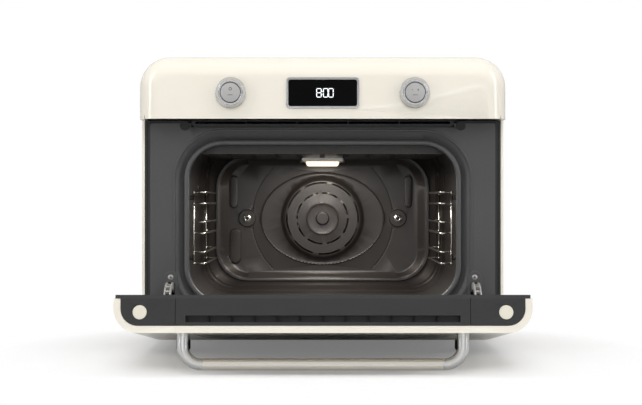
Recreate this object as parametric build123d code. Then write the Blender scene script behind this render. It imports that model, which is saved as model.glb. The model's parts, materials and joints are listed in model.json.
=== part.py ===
from build123d import *

import os
from math import asin, cos, degrees, radians, sin

# Countertop combination steam oven with a drop-down door, drawn open.
# Millimetres, +Z up, front towards -Y. Y is measured from the front frame's face while a piece is made;
# the last step moves every piece so that the origin is the middle of the footprint with the door open.

# Overall sizes
body_width = 496.0
body_depth = 410.0
overall_height = 404.0
hood_height = 84.5
hood_overhang = 47.0
hood_corner_radius = 41.0
hood_edge_radius = 28.0
sheet = 1.5
foot_height = 28.0
foot_radius = 10.0
foot_side_inset = 53.0
foot_inset = 42.0
clearance = 0.3
running_clearance = 0.05
seat_clearance = 0.02
cable_inlet_inset = 58.0
cable_inlet_z = 70.0
cable_inlet_radius = 7.9
rear_slot_rows = 8
rear_slot_pitch = 12.0
rear_slot_height = 4.5
rear_slot_length = 90.0
rear_slot_x = 120.0
rear_slot_drop = 69.5

# Front frame and the mouth of the cavity
frame_side_gap = 11.2
frame_top_gap = 3.9
mouth_side_margin = 53.1
mouth_top_margin = 33.5
mouth_low = 72.0
mouth_radius = 47.0
funnel_width = 18.5
funnel_floor_width = 7.0
funnel_depth = 8.0
ridge_offset = 20.0
ridge_width = 3.0
ridge_height = 1.2
gasket_width = 6.4
side_lip = 3.7

# Cavity
muffle_side_step = 3.3
muffle_floor_step = 4.0
muffle_roof_step = 10.0
muffle_radius = 50.0
muffle_wall = 1.2
rear_room = 101.0
first_step_room = 66.0
second_step_room = 26.0
first_step = 3.8
second_step = 9.0
step_run = 5.0
insulation_thickness = 12.0
insulation_front_y = 38.0

# Fan cover, fan and ring heater
rim_side_inset = 22.5
rim_floor_inset = 19.0
rim_roof_inset = 19.5
rim_radius = 46.0
rim_flange = 3.0
dish_depth = 12.0
dish_side_inset = 15.5
dish_inset = 8.5
dish_radius = 34.0
chamber_depth = 44.0
boss_radius = 66.9
boss_height = 9.0
boss_slope = 7.0
slot_radii = (56.3, 40.0, 24.4)
slot_width = 2.6
slot_bridge_degrees = 9.0
slots_per_ring = 8
cap_radius = 10.6
oval_half_width = 97.7
oval_half_height = 73.7
oval_depth = 2.0
arc_groove_radius = 112.0
arc_groove_width = 3.2
arc_half_degrees = 46.0
baffle_nut_x = 119.1
nut_radius = 6.3
nut_boss_radius = 14.2
nut_boss_height = 2.2
stud_radius = 2.0
bar_insets = (8.5, 11.2, 13.0)
bar_half_widths = (6.5, 9.2, 6.0)
bar_lengths = (52.0, 56.0, 51.0)
bar_top_drop = 18.0
low_bar_rise = 14.5
fan_rise = 0.25
impeller_radius = 54.0
impeller_hub_radius = 11.0
impeller_depth = 18.0
blade_count = 12
fan_shaft_radius = 4.0
ring_heater_radius = 74.0
ring_heater_gap = 18.0
heater_tube_radius = 3.2
motor_radius = 32.0
motor_length = 34.0

# Ceiling panel, grill heater and lamp
panel_drop = 21.6
panel_front_y = 26.0
panel_side_inset = 19.0
panel_slots = 9
grill_drop = 13.0
grill_side_inset = 48.0
grill_front_y = 70.0
grill_back_room = 116.0
grill_runs = 4
lamp_room = 61.0
lamp_bezel_size = 69.0
lamp_box_size = 60.0
lamp_lens_size = 50.0
lamp_bezel_drop = 5.2
lamp_lens_drop = 6.2
lamp_holder_radius = 10.0

# Side racks
rack_wire_radius = 1.5
rack_wall_gap = 5.7
rack_runner_reach = 16.0
rack_front_y = 50.0
rack_back_room = 32.0
rack_level_heights = (61.3, 103.6, 145.6)
rack_pair_gap = 16.0
rack_stud_radius = 3.0

# Controls on the fascia
control_drop = 50.0
knob_side_margin = 124.6
knob_base_radius = 20.7
knob_top_radius = 17.6
knob_depth = 11.0
knob_bore = 13.9
knob_web = 3.0
spigot_radius = 8.0
button_radius = 13.2
button_cap = 5.5
button_proud = 0.4
button_travel = 1.5
stem_radius = 3.0
encoder_depth = 14.0
encoder_size = 18.0
carrier_margin = 26.6
carrier_half_height = 21.5
board_half_height = 26.0
board_gap = 8.0
board_thickness = 1.6
display_width = 98.7
display_height = 42.0
display_border = 2.9
display_radius = 5.0

# Door
door_thickness = 45.0
door_gap = 2.0
door_top_gap = 3.0
rim_step = 0.4
door_rim = 8.3
door_corner_radius = 29.0
door_flange = 4.4
door_bottom_radius = 12.0
door_open_degrees = 83.0
pivot_y = -18.0
pivot_z = 49.25
door_below_pivot = 14.0
heel_radius = 16.4
window_side_margin = 93.0
window_top_margin = 62.0
window_bottom_margin = 66.25
window_radius = 26.0
inner_glass_arm_gap = 8.4
inner_glass_top_margin = 19.5
inner_glass_bottom_margin = 26.75
inner_glass_radius = 12.0
inner_glass_thickness = 3.2
glass_seat = 14.0
end_cap_width = 73.3
trim_depth = 12.0
plug_inset = 31.2
plug_radius = 8.4
plug_offset = 20.6
vent_end_margin = 12.2
vent_width = 7.9
vent_offset = 28.4
vent_cells = 12
handle_side_inset = 79.2
handle_seam_inset = 24.4
handle_radius = 7.0
handle_bend = 22.7
handle_standoff = 36.5
handle_drop = 35.0
handle_screw_radius = 2.8
handle_screw_length = 12.0

# Hinges
hinge_inset = 39.6
hinge_arm_width = 9.0
hinge_arm_radius = 44.5
hinge_arm_height = 9.0
hinge_arm_tail = -22.0
hinge_arm_root = 97.0
hinge_plate = 1.6
hinge_pin_radius = 3.0
rungs = 8
bracket_offset = 16.0
bracket_thickness = 3.0
bracket_back_y = 34.0
leaf_thickness = 4.0
leaf_gap = 0.4
boss_screw_rise = 55.25
arm_slot_rise = 26.75
arm_slot_height = 21.5
bumper_inset = 58.7
bumper_drop = 7.1
bumper_radius = 6.7

# Air outlet, cooling air and power board
outlet_inset = 68.0
outlet_slot_pitch = 70.0
outlet_lip = 8.7
outlet_depth = 22.0
blower_x = 86.0
blower_room = 77.0
blower_radius = 56.0
blower_height = 40.0
blower_throat = 76.0
blower_neck = 80.0
blower_wheel_radius = 44.0
blower_shaft_radius = 3.0
blower_vanes = 16
power_board_inset = 28.0
power_board_width = 100.0
power_board_length = 150.0
power_board_room = 107.0
power_board_rise = 12.0

# Water and steam
tank_front_y = 104.0
tank_back_room = 81.0
tank_rise = 109.0
tank_drop = 47.2
tank_wall = 2.0
tank_depth = 36.0
tank_face_margin = 8.0
tank_lid_height = 3.0
bay_wall = 1.2
hose_radius = 4.0
hose_front_room = 67.0
hose_back_room = 31.0
pump_room = 84.0
pump_length = 52.0
steam_room = 60.0
steam_drop = 66.0
steam_pipe_rise = 32.0
boiler_depth = 30.0
boiler_length = 100.0
boiler_height = 88.0

# Worked-out places
half_body = body_width / 2
hood_bottom = overall_height - hood_height
floor_z = foot_height + sheet
pan_top = floor_z + sheet
back_panel_y = body_depth - 2 * sheet
foot_half_spacing = half_body - foot_side_inset
cable_inlet_x = cable_inlet_inset - half_body

frame_half_width = half_body - frame_side_gap
mouth_half_width = frame_half_width - mouth_side_margin
mouth_high = hood_bottom - mouth_top_margin
muffle_half_width = mouth_half_width + muffle_side_step
muffle_low = mouth_low - muffle_floor_step
muffle_high = mouth_high + muffle_roof_step
muffle_front_y = funnel_depth + sheet
rim_y = back_panel_y - rear_room
first_step_y = rim_y - first_step_room
second_step_y = rim_y - second_step_room
rim_half_width = muffle_half_width - rim_side_inset
rim_low = muffle_low + rim_floor_inset
rim_high = muffle_high - rim_roof_inset
fan_z = (rim_low + rim_high) / 2 + fan_rise
dish_half_width = rim_half_width - dish_side_inset
dish_low = rim_low + dish_inset
dish_high = rim_high - dish_inset
dish_y = rim_y + dish_depth
chamber_back_y = dish_y + chamber_depth
motor_y = chamber_back_y + muffle_wall
roof_z = muffle_high + muffle_wall + insulation_thickness

panel_z = muffle_high - panel_drop
panel_back_y = second_step_y - 1
panel_half_width = muffle_half_width - panel_side_inset
grill_z = muffle_high - grill_drop
grill_half_width = panel_half_width - grill_side_inset
lamp_y = rim_y - lamp_room
rack_x = muffle_half_width - rack_wall_gap
rack_rail_x = rack_x - rack_runner_reach
rack_back_y = rim_y - rack_back_room
rack_levels = [muffle_low + rise for rise in rack_level_heights]

control_z = overall_height - control_drop
knob_x = half_body - knob_side_margin
encoder_y = -hood_overhang + encoder_depth

door_top = hood_bottom - door_top_gap
door_inner_y = -door_gap
door_outer_y = -door_gap - door_thickness
door_bottom = pivot_z - door_below_pivot
hinge_x = half_body - hinge_inset
bracket_x = hinge_x - bracket_offset
boss_screw_z = pivot_z + boss_screw_rise
arm_slot_low = pivot_z + arm_slot_rise
arm_slot_high = arm_slot_low + arm_slot_height
window_half_width = half_body - window_side_margin
window_low = door_bottom + window_bottom_margin
window_high = door_top - window_top_margin
inner_glass_half_width = hinge_x - inner_glass_arm_gap
inner_glass_low = door_bottom + inner_glass_bottom_margin
inner_glass_high = door_top - inner_glass_top_margin
end_cap_x = half_body - end_cap_width
plug_x = half_body - plug_inset
plug_y = door_inner_y - plug_offset
vent_half_length = end_cap_x - vent_end_margin
handle_half_width = half_body - handle_side_inset
handle_seam_x = handle_half_width - handle_seam_inset
handle_z = door_top - handle_drop
bumper_x = half_body - bumper_inset
bumper_z = hood_bottom - bumper_drop

outlet_half_width = half_body - outlet_inset
blower_y = back_panel_y - blower_room
tank_y = (tank_front_y, back_panel_y - tank_back_room)
tank_z = (pan_top + tank_rise, roof_z - tank_drop)
pump_y = tank_y[1] - pump_room
steam_y = first_step_y - steam_room
steam_z = muffle_high - steam_drop
boiler_high = steam_z - steam_pipe_rise
boiler_low = boiler_high - boiler_height

front_reach = (
    -pivot_y
    + (door_top - rim_step - pivot_z) * sin(radians(door_open_degrees))
    + (pivot_y - door_outer_y) * cos(radians(door_open_degrees))
)
front_y = (front_reach - body_depth) / 2
hinge_axis = Axis((0, pivot_y, pivot_z), (1, 0, 0))


def box(x0, x1, y0, y1, z0, z1):
    """A block between two corners."""
    return Pos((x0 + x1) / 2, (y0 + y1) / 2, (z0 + z1) / 2) * Box(x1 - x0, y1 - y0, z1 - z0)


def outline(half_width, z_low, z_high, radius, y, x_mid=0.0):
    """A rounded rectangle seen from the front, at depth y."""
    plane = Plane((x_mid, y, (z_low + z_high) / 2), x_dir=(1, 0, 0), z_dir=(0, -1, 0))
    return plane * RectangleRounded(2 * half_width, z_high - z_low, radius)


def slab(half_width, z_low, z_high, radius, y0, y1, x_mid=0.0):
    """A rounded rectangle carried along Y from y0 to y1."""
    return extrude(outline(half_width, z_low, z_high, radius, y1, x_mid), y1 - y0)


def mouth(offset, y0, y1):
    """The cavity mouth's outline, grown by offset, carried from y0 to y1."""
    return slab(
        mouth_half_width + offset, mouth_low - offset, mouth_high + offset, mouth_radius + offset, y0, y1
    )


def mouth_face(offset, y):
    """The cavity mouth's outline, grown by offset, at depth y."""
    return outline(
        mouth_half_width + offset, mouth_low - offset, mouth_high + offset, mouth_radius + offset, y
    )


def rod(centre, direction, radius, length):
    """A round rod that starts at centre and runs along direction."""
    return Plane(centre, z_dir=direction) * Cylinder(
        radius, length, align=(Align.CENTER, Align.CENTER, Align.MIN)
    )


def rod_y(x, z, radius, y0, y1):
    """A round rod along Y."""
    return rod((x, y0, z), (0, 1, 0), radius, y1 - y0)


def wire(points, radius, bend=None):
    """A round wire or tube along points, with bends of one radius or with mitred corners."""
    if bend is None:
        path = Polyline(*points)
        return sweep(
            Plane(path @ 0, z_dir=path % 0) * Circle(radius), path, transition=Transition.RIGHT
        )
    path = FilletPolyline(*points, radius=bend)
    return sweep(Plane(path @ 0, z_dir=path % 0) * Circle(radius), path)


def ordered(middle, half):
    """The two ends of a span about its middle, lower one first."""
    return middle - half, middle + half


def both_sides(make):
    """The pieces that make(side) gives for the left and the right side."""
    return [make(-1), make(1)]


def group(solids):
    """Several separate solids as one compound."""
    found = []
    for piece in solids:
        found.extend(piece.solids())
    return Compound(found)


# Outer casing


def hood_form(inset, z_low):
    """The hood's outer form, drawn in by inset."""
    half = half_body - inset
    top = overall_height - inset
    radius = hood_corner_radius - inset
    front = -hood_overhang + inset
    edge = hood_edge_radius - inset
    height = top - z_low
    form = slab(half, z_low - height, top, radius, front, body_depth)
    form -= box(-half - 1, half + 1, front - 1, body_depth + 1, z_low - height - 1, z_low)
    rim = [
        e
        for e in form.faces().sort_by(Axis.Y)[0].edges()
        if e.center().Z > z_low + 1
    ]
    return fillet(rim, edge)


def make_hood():
    """The roof and the control fascia in one pressing, with a lip turned in round its open underside."""
    lip = 8.0
    hood = hood_form(0, hood_bottom) - hood_form(sheet, hood_bottom + sheet)
    inside = half_body - lip
    hood -= box(-inside, inside, -hood_overhang + lip, body_depth, hood_bottom - 1, hood_bottom + 5)
    hood -= slab(
        half_body - sheet,
        hood_bottom - hood_height,
        overall_height - sheet,
        hood_corner_radius - sheet,
        back_panel_y,
        body_depth + 1,
    )
    for side in (-1, 1):
        hole = spigot_radius + 0.1
        hood -= rod_y(side * knob_x, control_z, hole, -hood_overhang - 1, -hood_overhang + 5)
    window = display_border + clearance
    return hood - slab(
        display_width / 2 - window,
        control_z - display_height / 2 + window,
        control_z + display_height / 2 - window,
        display_radius - 2,
        -hood_overhang - 1,
        -hood_overhang + 5,
    )


def make_hood_underplate():
    """The dark plate that closes the hood's overhang from below."""
    z0 = hood_bottom + sheet
    y0 = -hood_overhang + sheet + 2
    half = half_body - hood_edge_radius
    return box(-half, half, y0, 2.0, z0, z0 + 2)


def make_side_panel(side):
    """A side panel with a rolled front edge and a flange under the base."""
    outer = half_body
    profile = Polyline(
        (outer, 0), (outer, back_panel_y + sheet), (outer - sheet, back_panel_y + sheet),
        (outer - sheet, sheet), (outer - side_lip, sheet), (outer - side_lip, 0), close=True,
    )
    panel = Pos(0, 0, foot_height) * extrude(make_face(profile), hood_bottom - foot_height)
    corner = panel.edges().filter_by(Axis.Z).sort_by_distance((outer, 0, 100))[0]
    panel = fillet(corner, sheet - 0.3)
    panel += box(outer - 16, outer - sheet / 2, sheet, back_panel_y, foot_height, floor_z)
    if side > 0:
        y0, y1 = tank_y[0] - tank_face_margin, tank_y[1] + tank_face_margin
        z0, z1 = tank_z[0] - tank_face_margin, tank_z[1] + tank_face_margin
        plane = Plane((outer + 1, (y0 + y1) / 2, (z0 + z1) / 2), x_dir=(0, 1, 0), z_dir=(-1, 0, 0))
        gap = 2 * clearance
        panel -= extrude(plane * RectangleRounded(y1 - y0 + gap, z1 - z0 + gap, 10 + clearance), 5)
        return panel
    return mirror(panel, Plane.YZ)


def make_rear_panel():
    """The rear panel, with two banks of air slots and the bore for the cable inlet."""
    panel = slab(
        half_body - sheet,
        hood_bottom - hood_height,
        overall_height - sheet,
        hood_corner_radius - sheet,
        back_panel_y,
        back_panel_y + sheet,
    )
    panel -= box(-half_body, half_body, 0, body_depth, 0, hood_bottom - clearance)
    inner = half_body - sheet
    panel += box(-inner, inner, back_panel_y, back_panel_y + sheet, floor_z, hood_bottom)
    slots = []
    for x in (-rear_slot_x, rear_slot_x):
        x0, x1 = ordered(x, rear_slot_length / 2)
        for row in range(rear_slot_rows):
            z = hood_bottom - rear_slot_drop + row * rear_slot_pitch
            slots.append(box(x0, x1, 0, body_depth, z, z + rear_slot_height))
    panel -= slots
    hole = cable_inlet_radius + clearance / 2
    return panel - rod_y(cable_inlet_x, cable_inlet_z, hole, back_panel_y - 1, body_depth)


def make_cable_inlet():
    """The bush that the mains lead leaves by."""
    x, z = cable_inlet_x, cable_inlet_z
    bush = rod_y(x, z, cable_inlet_radius, back_panel_y, back_panel_y + sheet)
    bush += rod_y(x, z, cable_inlet_radius + 3, back_panel_y - 3, back_panel_y)
    return bush - rod_y(x, z, cable_inlet_radius / 2, back_panel_y - 4, body_depth)


def make_base_pan():
    """The floor of the chassis, with upturned sides, intake slots and room for the stay arms' tails."""
    half = half_body - sheet - clearance
    pan = box(-half, half, 3, back_panel_y, floor_z, pan_top)
    for side in (-1, 1):
        x0, x1 = sorted((side * half, side * (half - sheet)))
        pan += box(x0, x1, 3, back_panel_y, floor_z, floor_z + 18)
        x0, x1 = ordered(side * hinge_x, hinge_arm_width / 2 + 3)
        pan -= box(x0, x1, 0, -pivot_y + 16, floor_z - 1, pan_top + 1)
    pan -= [box(x - 3, x + 3, 120, 200, 0, overall_height) for x in range(-140, 141, 28)]
    return pan + generator_bracket()


def generator_bracket():
    """The bracket that carries the steam generator."""
    x0, x1 = ordered(boiler_x(), boiler_depth / 2)
    y0, y1 = ordered(steam_y, boiler_length / 2 - 10)
    bracket = box(x0, x1, y0, y1, pan_top, pan_top + sheet)
    return bracket + box(boiler_x() - 1, boiler_x() + 1, y0, y1, pan_top, boiler_low)


def make_feet():
    """Four turned rubber feet."""
    profile = Polyline(
        (0, 0), (foot_radius - 2, 0), (foot_radius, 3), (foot_radius, 14),
        (foot_radius + 3, 20), (foot_radius + 3, floor_z), (0, floor_z), close=True,
    )
    foot = revolve(Plane.XZ * make_face(profile), Axis.Z)
    spots = [
        (side * foot_half_spacing, y)
        for side in (-1, 1)
        for y in (foot_inset, back_panel_y - foot_inset)
    ]
    return group([Pos(x, y, 0) * foot for x, y in spots])


# Front frame


def make_front_frame():
    """The enamelled front frame: a plate pressed in as a funnel round the cavity mouth."""
    top = hood_bottom - frame_top_gap
    frame = slab(frame_half_width, pan_top, top, 2, 0, sheet)
    frame -= mouth(funnel_width, -1, sheet + 1)
    back = mouth_face(funnel_floor_width + sheet, muffle_front_y)
    outer = loft([mouth_face(funnel_width + sheet, sheet / 2), back])
    inner = loft([mouth_face(funnel_width, 0), mouth_face(funnel_floor_width, funnel_depth)])
    frame += outer - inner - mouth(funnel_floor_width, funnel_depth - 0.01, muffle_front_y + 1)
    frame += mouth(funnel_floor_width + 0.5, funnel_depth, muffle_front_y) - mouth(0, 0, 20)
    ridge = mouth(ridge_offset + ridge_width / 2, -ridge_height, 0.5)
    ridge -= mouth(ridge_offset - ridge_width / 2, -5, 5)
    crest = ridge.faces().sort_by(Axis.Y)[0].edges()
    frame += fillet(crest, ridge_height * 0.8)
    half = outlet_half_width + clearance
    frame -= box(-half, half, -5, 5, hood_bottom - outlet_lip - clearance, hood_bottom)
    for side in (-1, 1):
        frame += hinge_boss(side)
        frame -= arm_slot(side)
        frame -= bracket_slot(side)
        frame -= rod_y(side * bumper_x, bumper_z, bumper_radius / 2, -1, 5)
        frame -= rod_y(side * hinge_x, boss_screw_z, 1.7, -5, 5)
    return frame


def hinge_boss(side):
    """The shallow tongue pressed round the hinge slot and its screw."""
    high = boss_screw_z + 8.5
    boss = slab(9.5, arm_slot_low - 16, high, 9, -ridge_height, 0.5, side * hinge_x)
    return fillet(boss.faces().sort_by(Axis.Y)[0].edges(), ridge_height * 0.8)


def arm_slot(side):
    """The slot that the door's stay arm runs through."""
    return slab(hinge_arm_width / 2 + 1, arm_slot_low, arm_slot_high, 3, -5, 5, side * hinge_x)


def bracket_slot(side):
    """The cut that the hinge bracket stands out through."""
    x0, x1 = ordered(side * bracket_x, bracket_thickness)
    return box(x0, x1, -5, 5, pivot_z - 16, pivot_z + 13)


def make_gasket():
    """The silicone door seal, a round-topped bead on the floor of the funnel."""
    face_y = door_inner_y + clearance
    ring = mouth(gasket_width, face_y, funnel_depth) - mouth(0, face_y - 1, funnel_depth + 1)
    return fillet(ring.faces().sort_by(Axis.Y)[0].edges(), gasket_width / 2 - 0.3)


def make_side_trim(side):
    """The dark strip between the side panel's lip and the front frame, with one groove."""
    x0, x1 = frame_half_width + 0.2, half_body - side_lip - 0.1
    trim = box(x0, x1, 0.8, 6, pan_top, hood_bottom - 0.5)
    middle = (x0 + x1) / 2
    trim -= box(middle - 1, middle + 1, 0, 2.4, 0, overall_height)
    return trim if side > 0 else mirror(trim, Plane.YZ)


def make_air_outlet():
    """The black outlet strip under the hood: a backing plate, a lip and a row of bridged slots."""
    z0, z1 = hood_bottom - outlet_lip, hood_bottom
    lip_front = door_inner_y + 0.5
    half = frame_half_width
    strip = box(-half, half, 3, 5, z1 - frame_top_gap - 2, z1)
    strip += slab(outlet_half_width, z0, z1 + outlet_lip, 6, lip_front, outlet_depth)
    strip -= box(-half, half, lip_front - 1, outlet_depth + 1, z1, z1 + 2 * outlet_lip)
    count = int(2 * outlet_half_width // outlet_slot_pitch)
    start = -count * outlet_slot_pitch / 2
    for cell in range(count):
        x = start + cell * outlet_slot_pitch
        strip -= box(x + 0.6, x + outlet_slot_pitch - 0.6, -9, 30, z1 - 4.7, z1 - 1.2)
    for side in (-1, 1):
        strip -= rod_y(side * bumper_x, bumper_z, bumper_radius / 2, -1, 9)
    return strip


def make_bumpers():
    """Two round rubber buffers that the closed door meets."""
    def bumper(side):
        head = rod_y(side * bumper_x, bumper_z, bumper_radius, door_inner_y + clearance, 0)
        rim = head.faces().sort_by(Axis.Y)[0].edges()
        stem = rod_y(side * bumper_x, bumper_z, bumper_radius / 2 - clearance / 2, 0, 3)
        return chamfer(rim, 0.6) + stem

    return group(both_sides(bumper))


def make_boss_screws():
    """The two pan-head screws that hold the hinges to the front frame."""
    def screw(side):
        x = side * hinge_x
        head = rod_y(x, boss_screw_z, 3.8, -ridge_height - 0.5, -ridge_height)
        return head + rod_y(x, boss_screw_z, 1.6, -ridge_height, 7)

    return group(both_sides(screw))


# Cavity


def muffle_stack(grow):
    """The cavity's stepped form, with its walls moved out by grow."""
    def section(inset, y):
        return outline(
            muffle_half_width - inset + grow,
            muffle_low + inset - grow,
            muffle_high - inset + grow,
            muffle_radius - inset + grow,
            y,
        )

    y0, y5 = muffle_front_y, chamber_back_y + grow
    y1, y2 = first_step_y, first_step_y + step_run
    y3, y4 = second_step_y, second_step_y + step_run
    form = extrude(section(0, y1), y1 - y0)
    form += loft([section(0, y1), section(first_step, y2)])
    form += extrude(section(first_step, y3), y3 - y2)
    form += loft([section(first_step, y3), section(second_step, y4)])
    form += extrude(section(second_step, rim_y + grow), rim_y + grow - y4)
    gap = 1.5 + grow
    return form + slab(rim_half_width + gap, rim_low - gap, rim_high + gap, rim_radius + gap, rim_y - 1, y5)


def make_muffle():
    """The enamelled cavity, stepped towards its back, with the fan chamber behind and a flange in front."""
    shell = muffle_stack(muffle_wall)
    shell += mouth(14, muffle_front_y, muffle_front_y + muffle_wall)
    shell -= muffle_stack(0)
    shell -= rod_y(0, fan_z, fan_shaft_radius + 1.5, chamber_back_y - 1, chamber_back_y + 5)
    hole = heater_tube_radius + 0.1
    for side in (-1, 1):
        shell -= rod_y(side * grill_half_width, grill_z, hole, rim_y - 1, dish_y)
        shell -= rod_y(side * ring_heater_gap / 2, ring_heater_top(), hole, chamber_back_y - 1, body_depth)
    shell -= rod((0, lamp_y, grill_z), (0, 0, 1), lamp_holder_radius + 3, overall_height)
    shell -= rod((-muffle_half_width - 5, steam_y, steam_z), (1, 0, 0), hose_radius + 0.1, 20)
    for side in (-1, 1):
        shell += cover_stud(side)
        for z in (rack_levels[0], rack_levels[-1]):
            shell += rack_stud(side, z)
    return shell


def cover_stud(side):
    """A shouldered stud on the chamber's back wall that carries the fan cover."""
    x = side * baffle_nut_x
    shoulder = rod_y(x, fan_z, 5, dish_y, chamber_back_y + muffle_wall / 2)
    return shoulder + rod_y(x, fan_z, stud_radius, dish_y - 9, dish_y)


def rack_stud(side, z):
    """A stud on the cavity's side wall that a rack hooks over."""
    start = muffle_half_width + muffle_wall / 2
    length = start - rack_x - rack_wire_radius
    return rod((side * start, rack_front_y, z), (-side, 0, 0), rack_stud_radius, length)


def make_insulation():
    """The mineral-wool sleeve round the cavity."""
    grow = muffle_wall + insulation_thickness
    y0, y1 = insulation_front_y, second_step_y + step_run
    wool = slab(
        muffle_half_width + grow, muffle_low - grow, muffle_high + grow, muffle_radius + grow, y0, y1
    )
    wool -= muffle_stack(muffle_wall + 0.1)
    wool -= rod((0, lamp_y, grill_z), (0, 0, 1), lamp_holder_radius + 3, overall_height)
    return wool - rod((-muffle_half_width - 30, steam_y, steam_z), (1, 0, 0), hose_radius + 0.1, 40)


def dish(offset, y_floor, y_rim):
    """The fan cover's dish, drawn in by offset, from its flat floor out to its rim."""
    floor = outline(
        dish_half_width - offset, dish_low + offset, dish_high - offset, dish_radius - offset, y_floor
    )
    rim = outline(rim_half_width - offset, rim_low + offset, rim_high - offset, rim_radius - offset, y_rim)
    return loft([rim, floor])


def ring_slots(radius, y0, y1):
    """A ring of curved slots, left joined by narrow bridges."""
    washer = rod_y(0, fan_z, radius + slot_width / 2, y0, y1)
    washer -= rod_y(0, fan_z, radius - slot_width / 2, y0, y1)
    half_bridge = radius * radians(slot_bridge_degrees) / 2
    axis = Axis((0, 0, fan_z), (0, 1, 0))
    for n in range(slots_per_ring):
        bridge = box(-half_bridge, half_bridge, y0, y1, fan_z, fan_z + boss_radius)
        washer -= bridge.rotate(axis, n * 360 / slots_per_ring + radius)
    return washer


def arc_groove(side, y0, y1):
    """One of the two curved grooves that pass through the nuts."""
    ring = rod_y(0, fan_z, arc_groove_radius + arc_groove_width / 2, y0, y1)
    ring -= rod_y(0, fan_z, arc_groove_radius - arc_groove_width / 2, y0, y1)
    reach = 2 * arc_groove_radius
    spread = reach * sin(radians(arc_half_degrees)) / cos(radians(arc_half_degrees))
    plane = Plane((0, y1, fan_z), x_dir=(1, 0, 0), z_dir=(0, -1, 0))
    wedge = make_face(Polyline((0, 0), (side * reach, spread), (side * reach, -spread), close=True))
    return ring & extrude(plane * wedge, y1 - y0)


def cone_y(radius_back, radius_front, y_back, height):
    """A cone about the fan's axis that narrows towards the front."""
    plane = Plane((0, y_back, fan_z), z_dir=(0, -1, 0))
    return plane * Cone(
        radius_back, radius_front, height, align=(Align.CENTER, Align.CENTER, Align.MIN)
    )


def oval_rim(y_back):
    """The low oval rim pressed round the boss."""
    plane = Plane((0, y_back, fan_z), x_dir=(1, 0, 0), z_dir=(0, -1, 0))
    outer = plane * Ellipse(oval_half_width, oval_half_height)
    inner = plane * Ellipse(oval_half_width - 2.4, oval_half_height - 2.4)
    return extrude(outer, oval_depth) - extrude(inner, oval_depth + 1)


def make_fan_cover():
    """The fan cover: a dish with a raised slotted boss, an oval rim, curved grooves and pressed bars."""
    t = muffle_wall
    flange = rim_flange
    cover = slab(
        rim_half_width + flange, rim_low - flange, rim_high + flange, rim_radius + flange, rim_y - t, rim_y
    )
    cover += dish(0, dish_y, rim_y)
    cover -= dish(t, dish_y - t, rim_y - t - 0.01)
    face = dish_y - t
    front = face - boss_height
    cover += cone_y(boss_radius, boss_radius - boss_slope, face, boss_height)
    cover -= cone_y(boss_radius - t, boss_radius - boss_slope - t, dish_y, boss_height)
    for radius in slot_radii[:-1]:
        cover -= ring_slots(radius, front - 1, front + t + 1)
    bead = rod_y(0, fan_z, slot_radii[-1] + 1.5, front - 1.6, front)
    cover += bead - rod_y(0, fan_z, slot_radii[-1] - 1.5, front - 2, front)
    cap = rod_y(0, fan_z, cap_radius, front - 4, front)
    cover += fillet(cap.faces().sort_by(Axis.Y)[0].edges(), 2.5)
    cover += oval_rim(face + 0.5)
    for side in (-1, 1):
        cover -= arc_groove(side, face - 1, face + t / 2)
        pad = rod_y(side * baffle_nut_x, fan_z, nut_boss_radius, face - nut_boss_height, face)
        cover += chamfer(pad.faces().sort_by(Axis.Y)[0].edges(), 1.5)
        cover -= rod_y(side * baffle_nut_x, fan_z, stud_radius + 0.2, rim_y, dish_y + 1)
    for x, half, z0, z1 in bar_presses():
        bar = slab(half, z0, z1, half - 0.1, face - nut_boss_height, face, x)
        cover += chamfer(bar.faces().sort_by(Axis.Y)[0].edges(), 1.6)
    return cover


def bar_presses():
    """Middle, half width, foot and head of the three upright bars pressed near the dish's sides."""
    x = [dish_half_width - inset for inset in bar_insets]
    half, length = bar_half_widths, bar_lengths
    high = dish_high - bar_top_drop
    low = dish_low + low_bar_rise
    return [
        (-x[0], half[0], high - length[0], high),
        (-x[1], half[1], low, low + length[1]),
        (x[2], half[2], high - length[2], high),
    ]


def make_fan_cover_nuts():
    """The two flanged nuts of the fan cover."""
    def nut(side):
        x = side * baffle_nut_x
        y1 = dish_y - muffle_wall - nut_boss_height
        body = rod_y(x, fan_z, nut_radius, y1 - 1.5, y1)
        body += rod_y(x, fan_z, nut_radius - 1.8, y1 - 5, y1 - 1.5)
        return body - rod_y(x, fan_z, stud_radius + seat_clearance, y1 - 6, y1 + 1)

    return group(both_sides(nut))


def make_impeller():
    """The radial fan wheel: a disc, a hub and slanted blades."""
    y0 = dish_y + 12
    y1 = y0 + impeller_depth
    wheel = rod_y(0, fan_z, impeller_radius, y1 - 1, y1)
    wheel += rod_y(0, fan_z, impeller_hub_radius, y0 + 4, y1)
    middle = (impeller_hub_radius + impeller_radius) / 2 + 8
    for n in range(blade_count):
        blade = box(-0.6, 0.6, y0, y1, fan_z + middle - 15, fan_z + middle + 12)
        blade = blade.rotate(Axis((0, 0, fan_z + middle), (0, 1, 0)), 24)
        wheel += blade.rotate(Axis((0, 0, fan_z), (0, 1, 0)), n * 360 / blade_count)
    return wheel - rod_y(0, fan_z, fan_shaft_radius + seat_clearance, y0, y1 + 1)


def make_fan_shaft():
    """The motor shaft that carries the wheel, with a nut on its end."""
    y0 = dish_y + 12
    shaft = rod_y(0, fan_z, fan_shaft_radius, y0, motor_y + motor_length - 4)
    return shaft + rod_y(0, fan_z, fan_shaft_radius + 3, y0, y0 + 4)


def make_fan_motor():
    """The fan motor: a mounting plate, a round case and the bearing bore."""
    motor = rod_y(0, fan_z, motor_radius, motor_y, motor_y + motor_length)
    motor += slab(motor_radius + 14, fan_z - 20, fan_z + 20, 6, motor_y, motor_y + 2)
    bore = fan_shaft_radius + running_clearance
    return motor - rod_y(0, fan_z, bore, motor_y - 1, motor_y + motor_length - 3)


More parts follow.
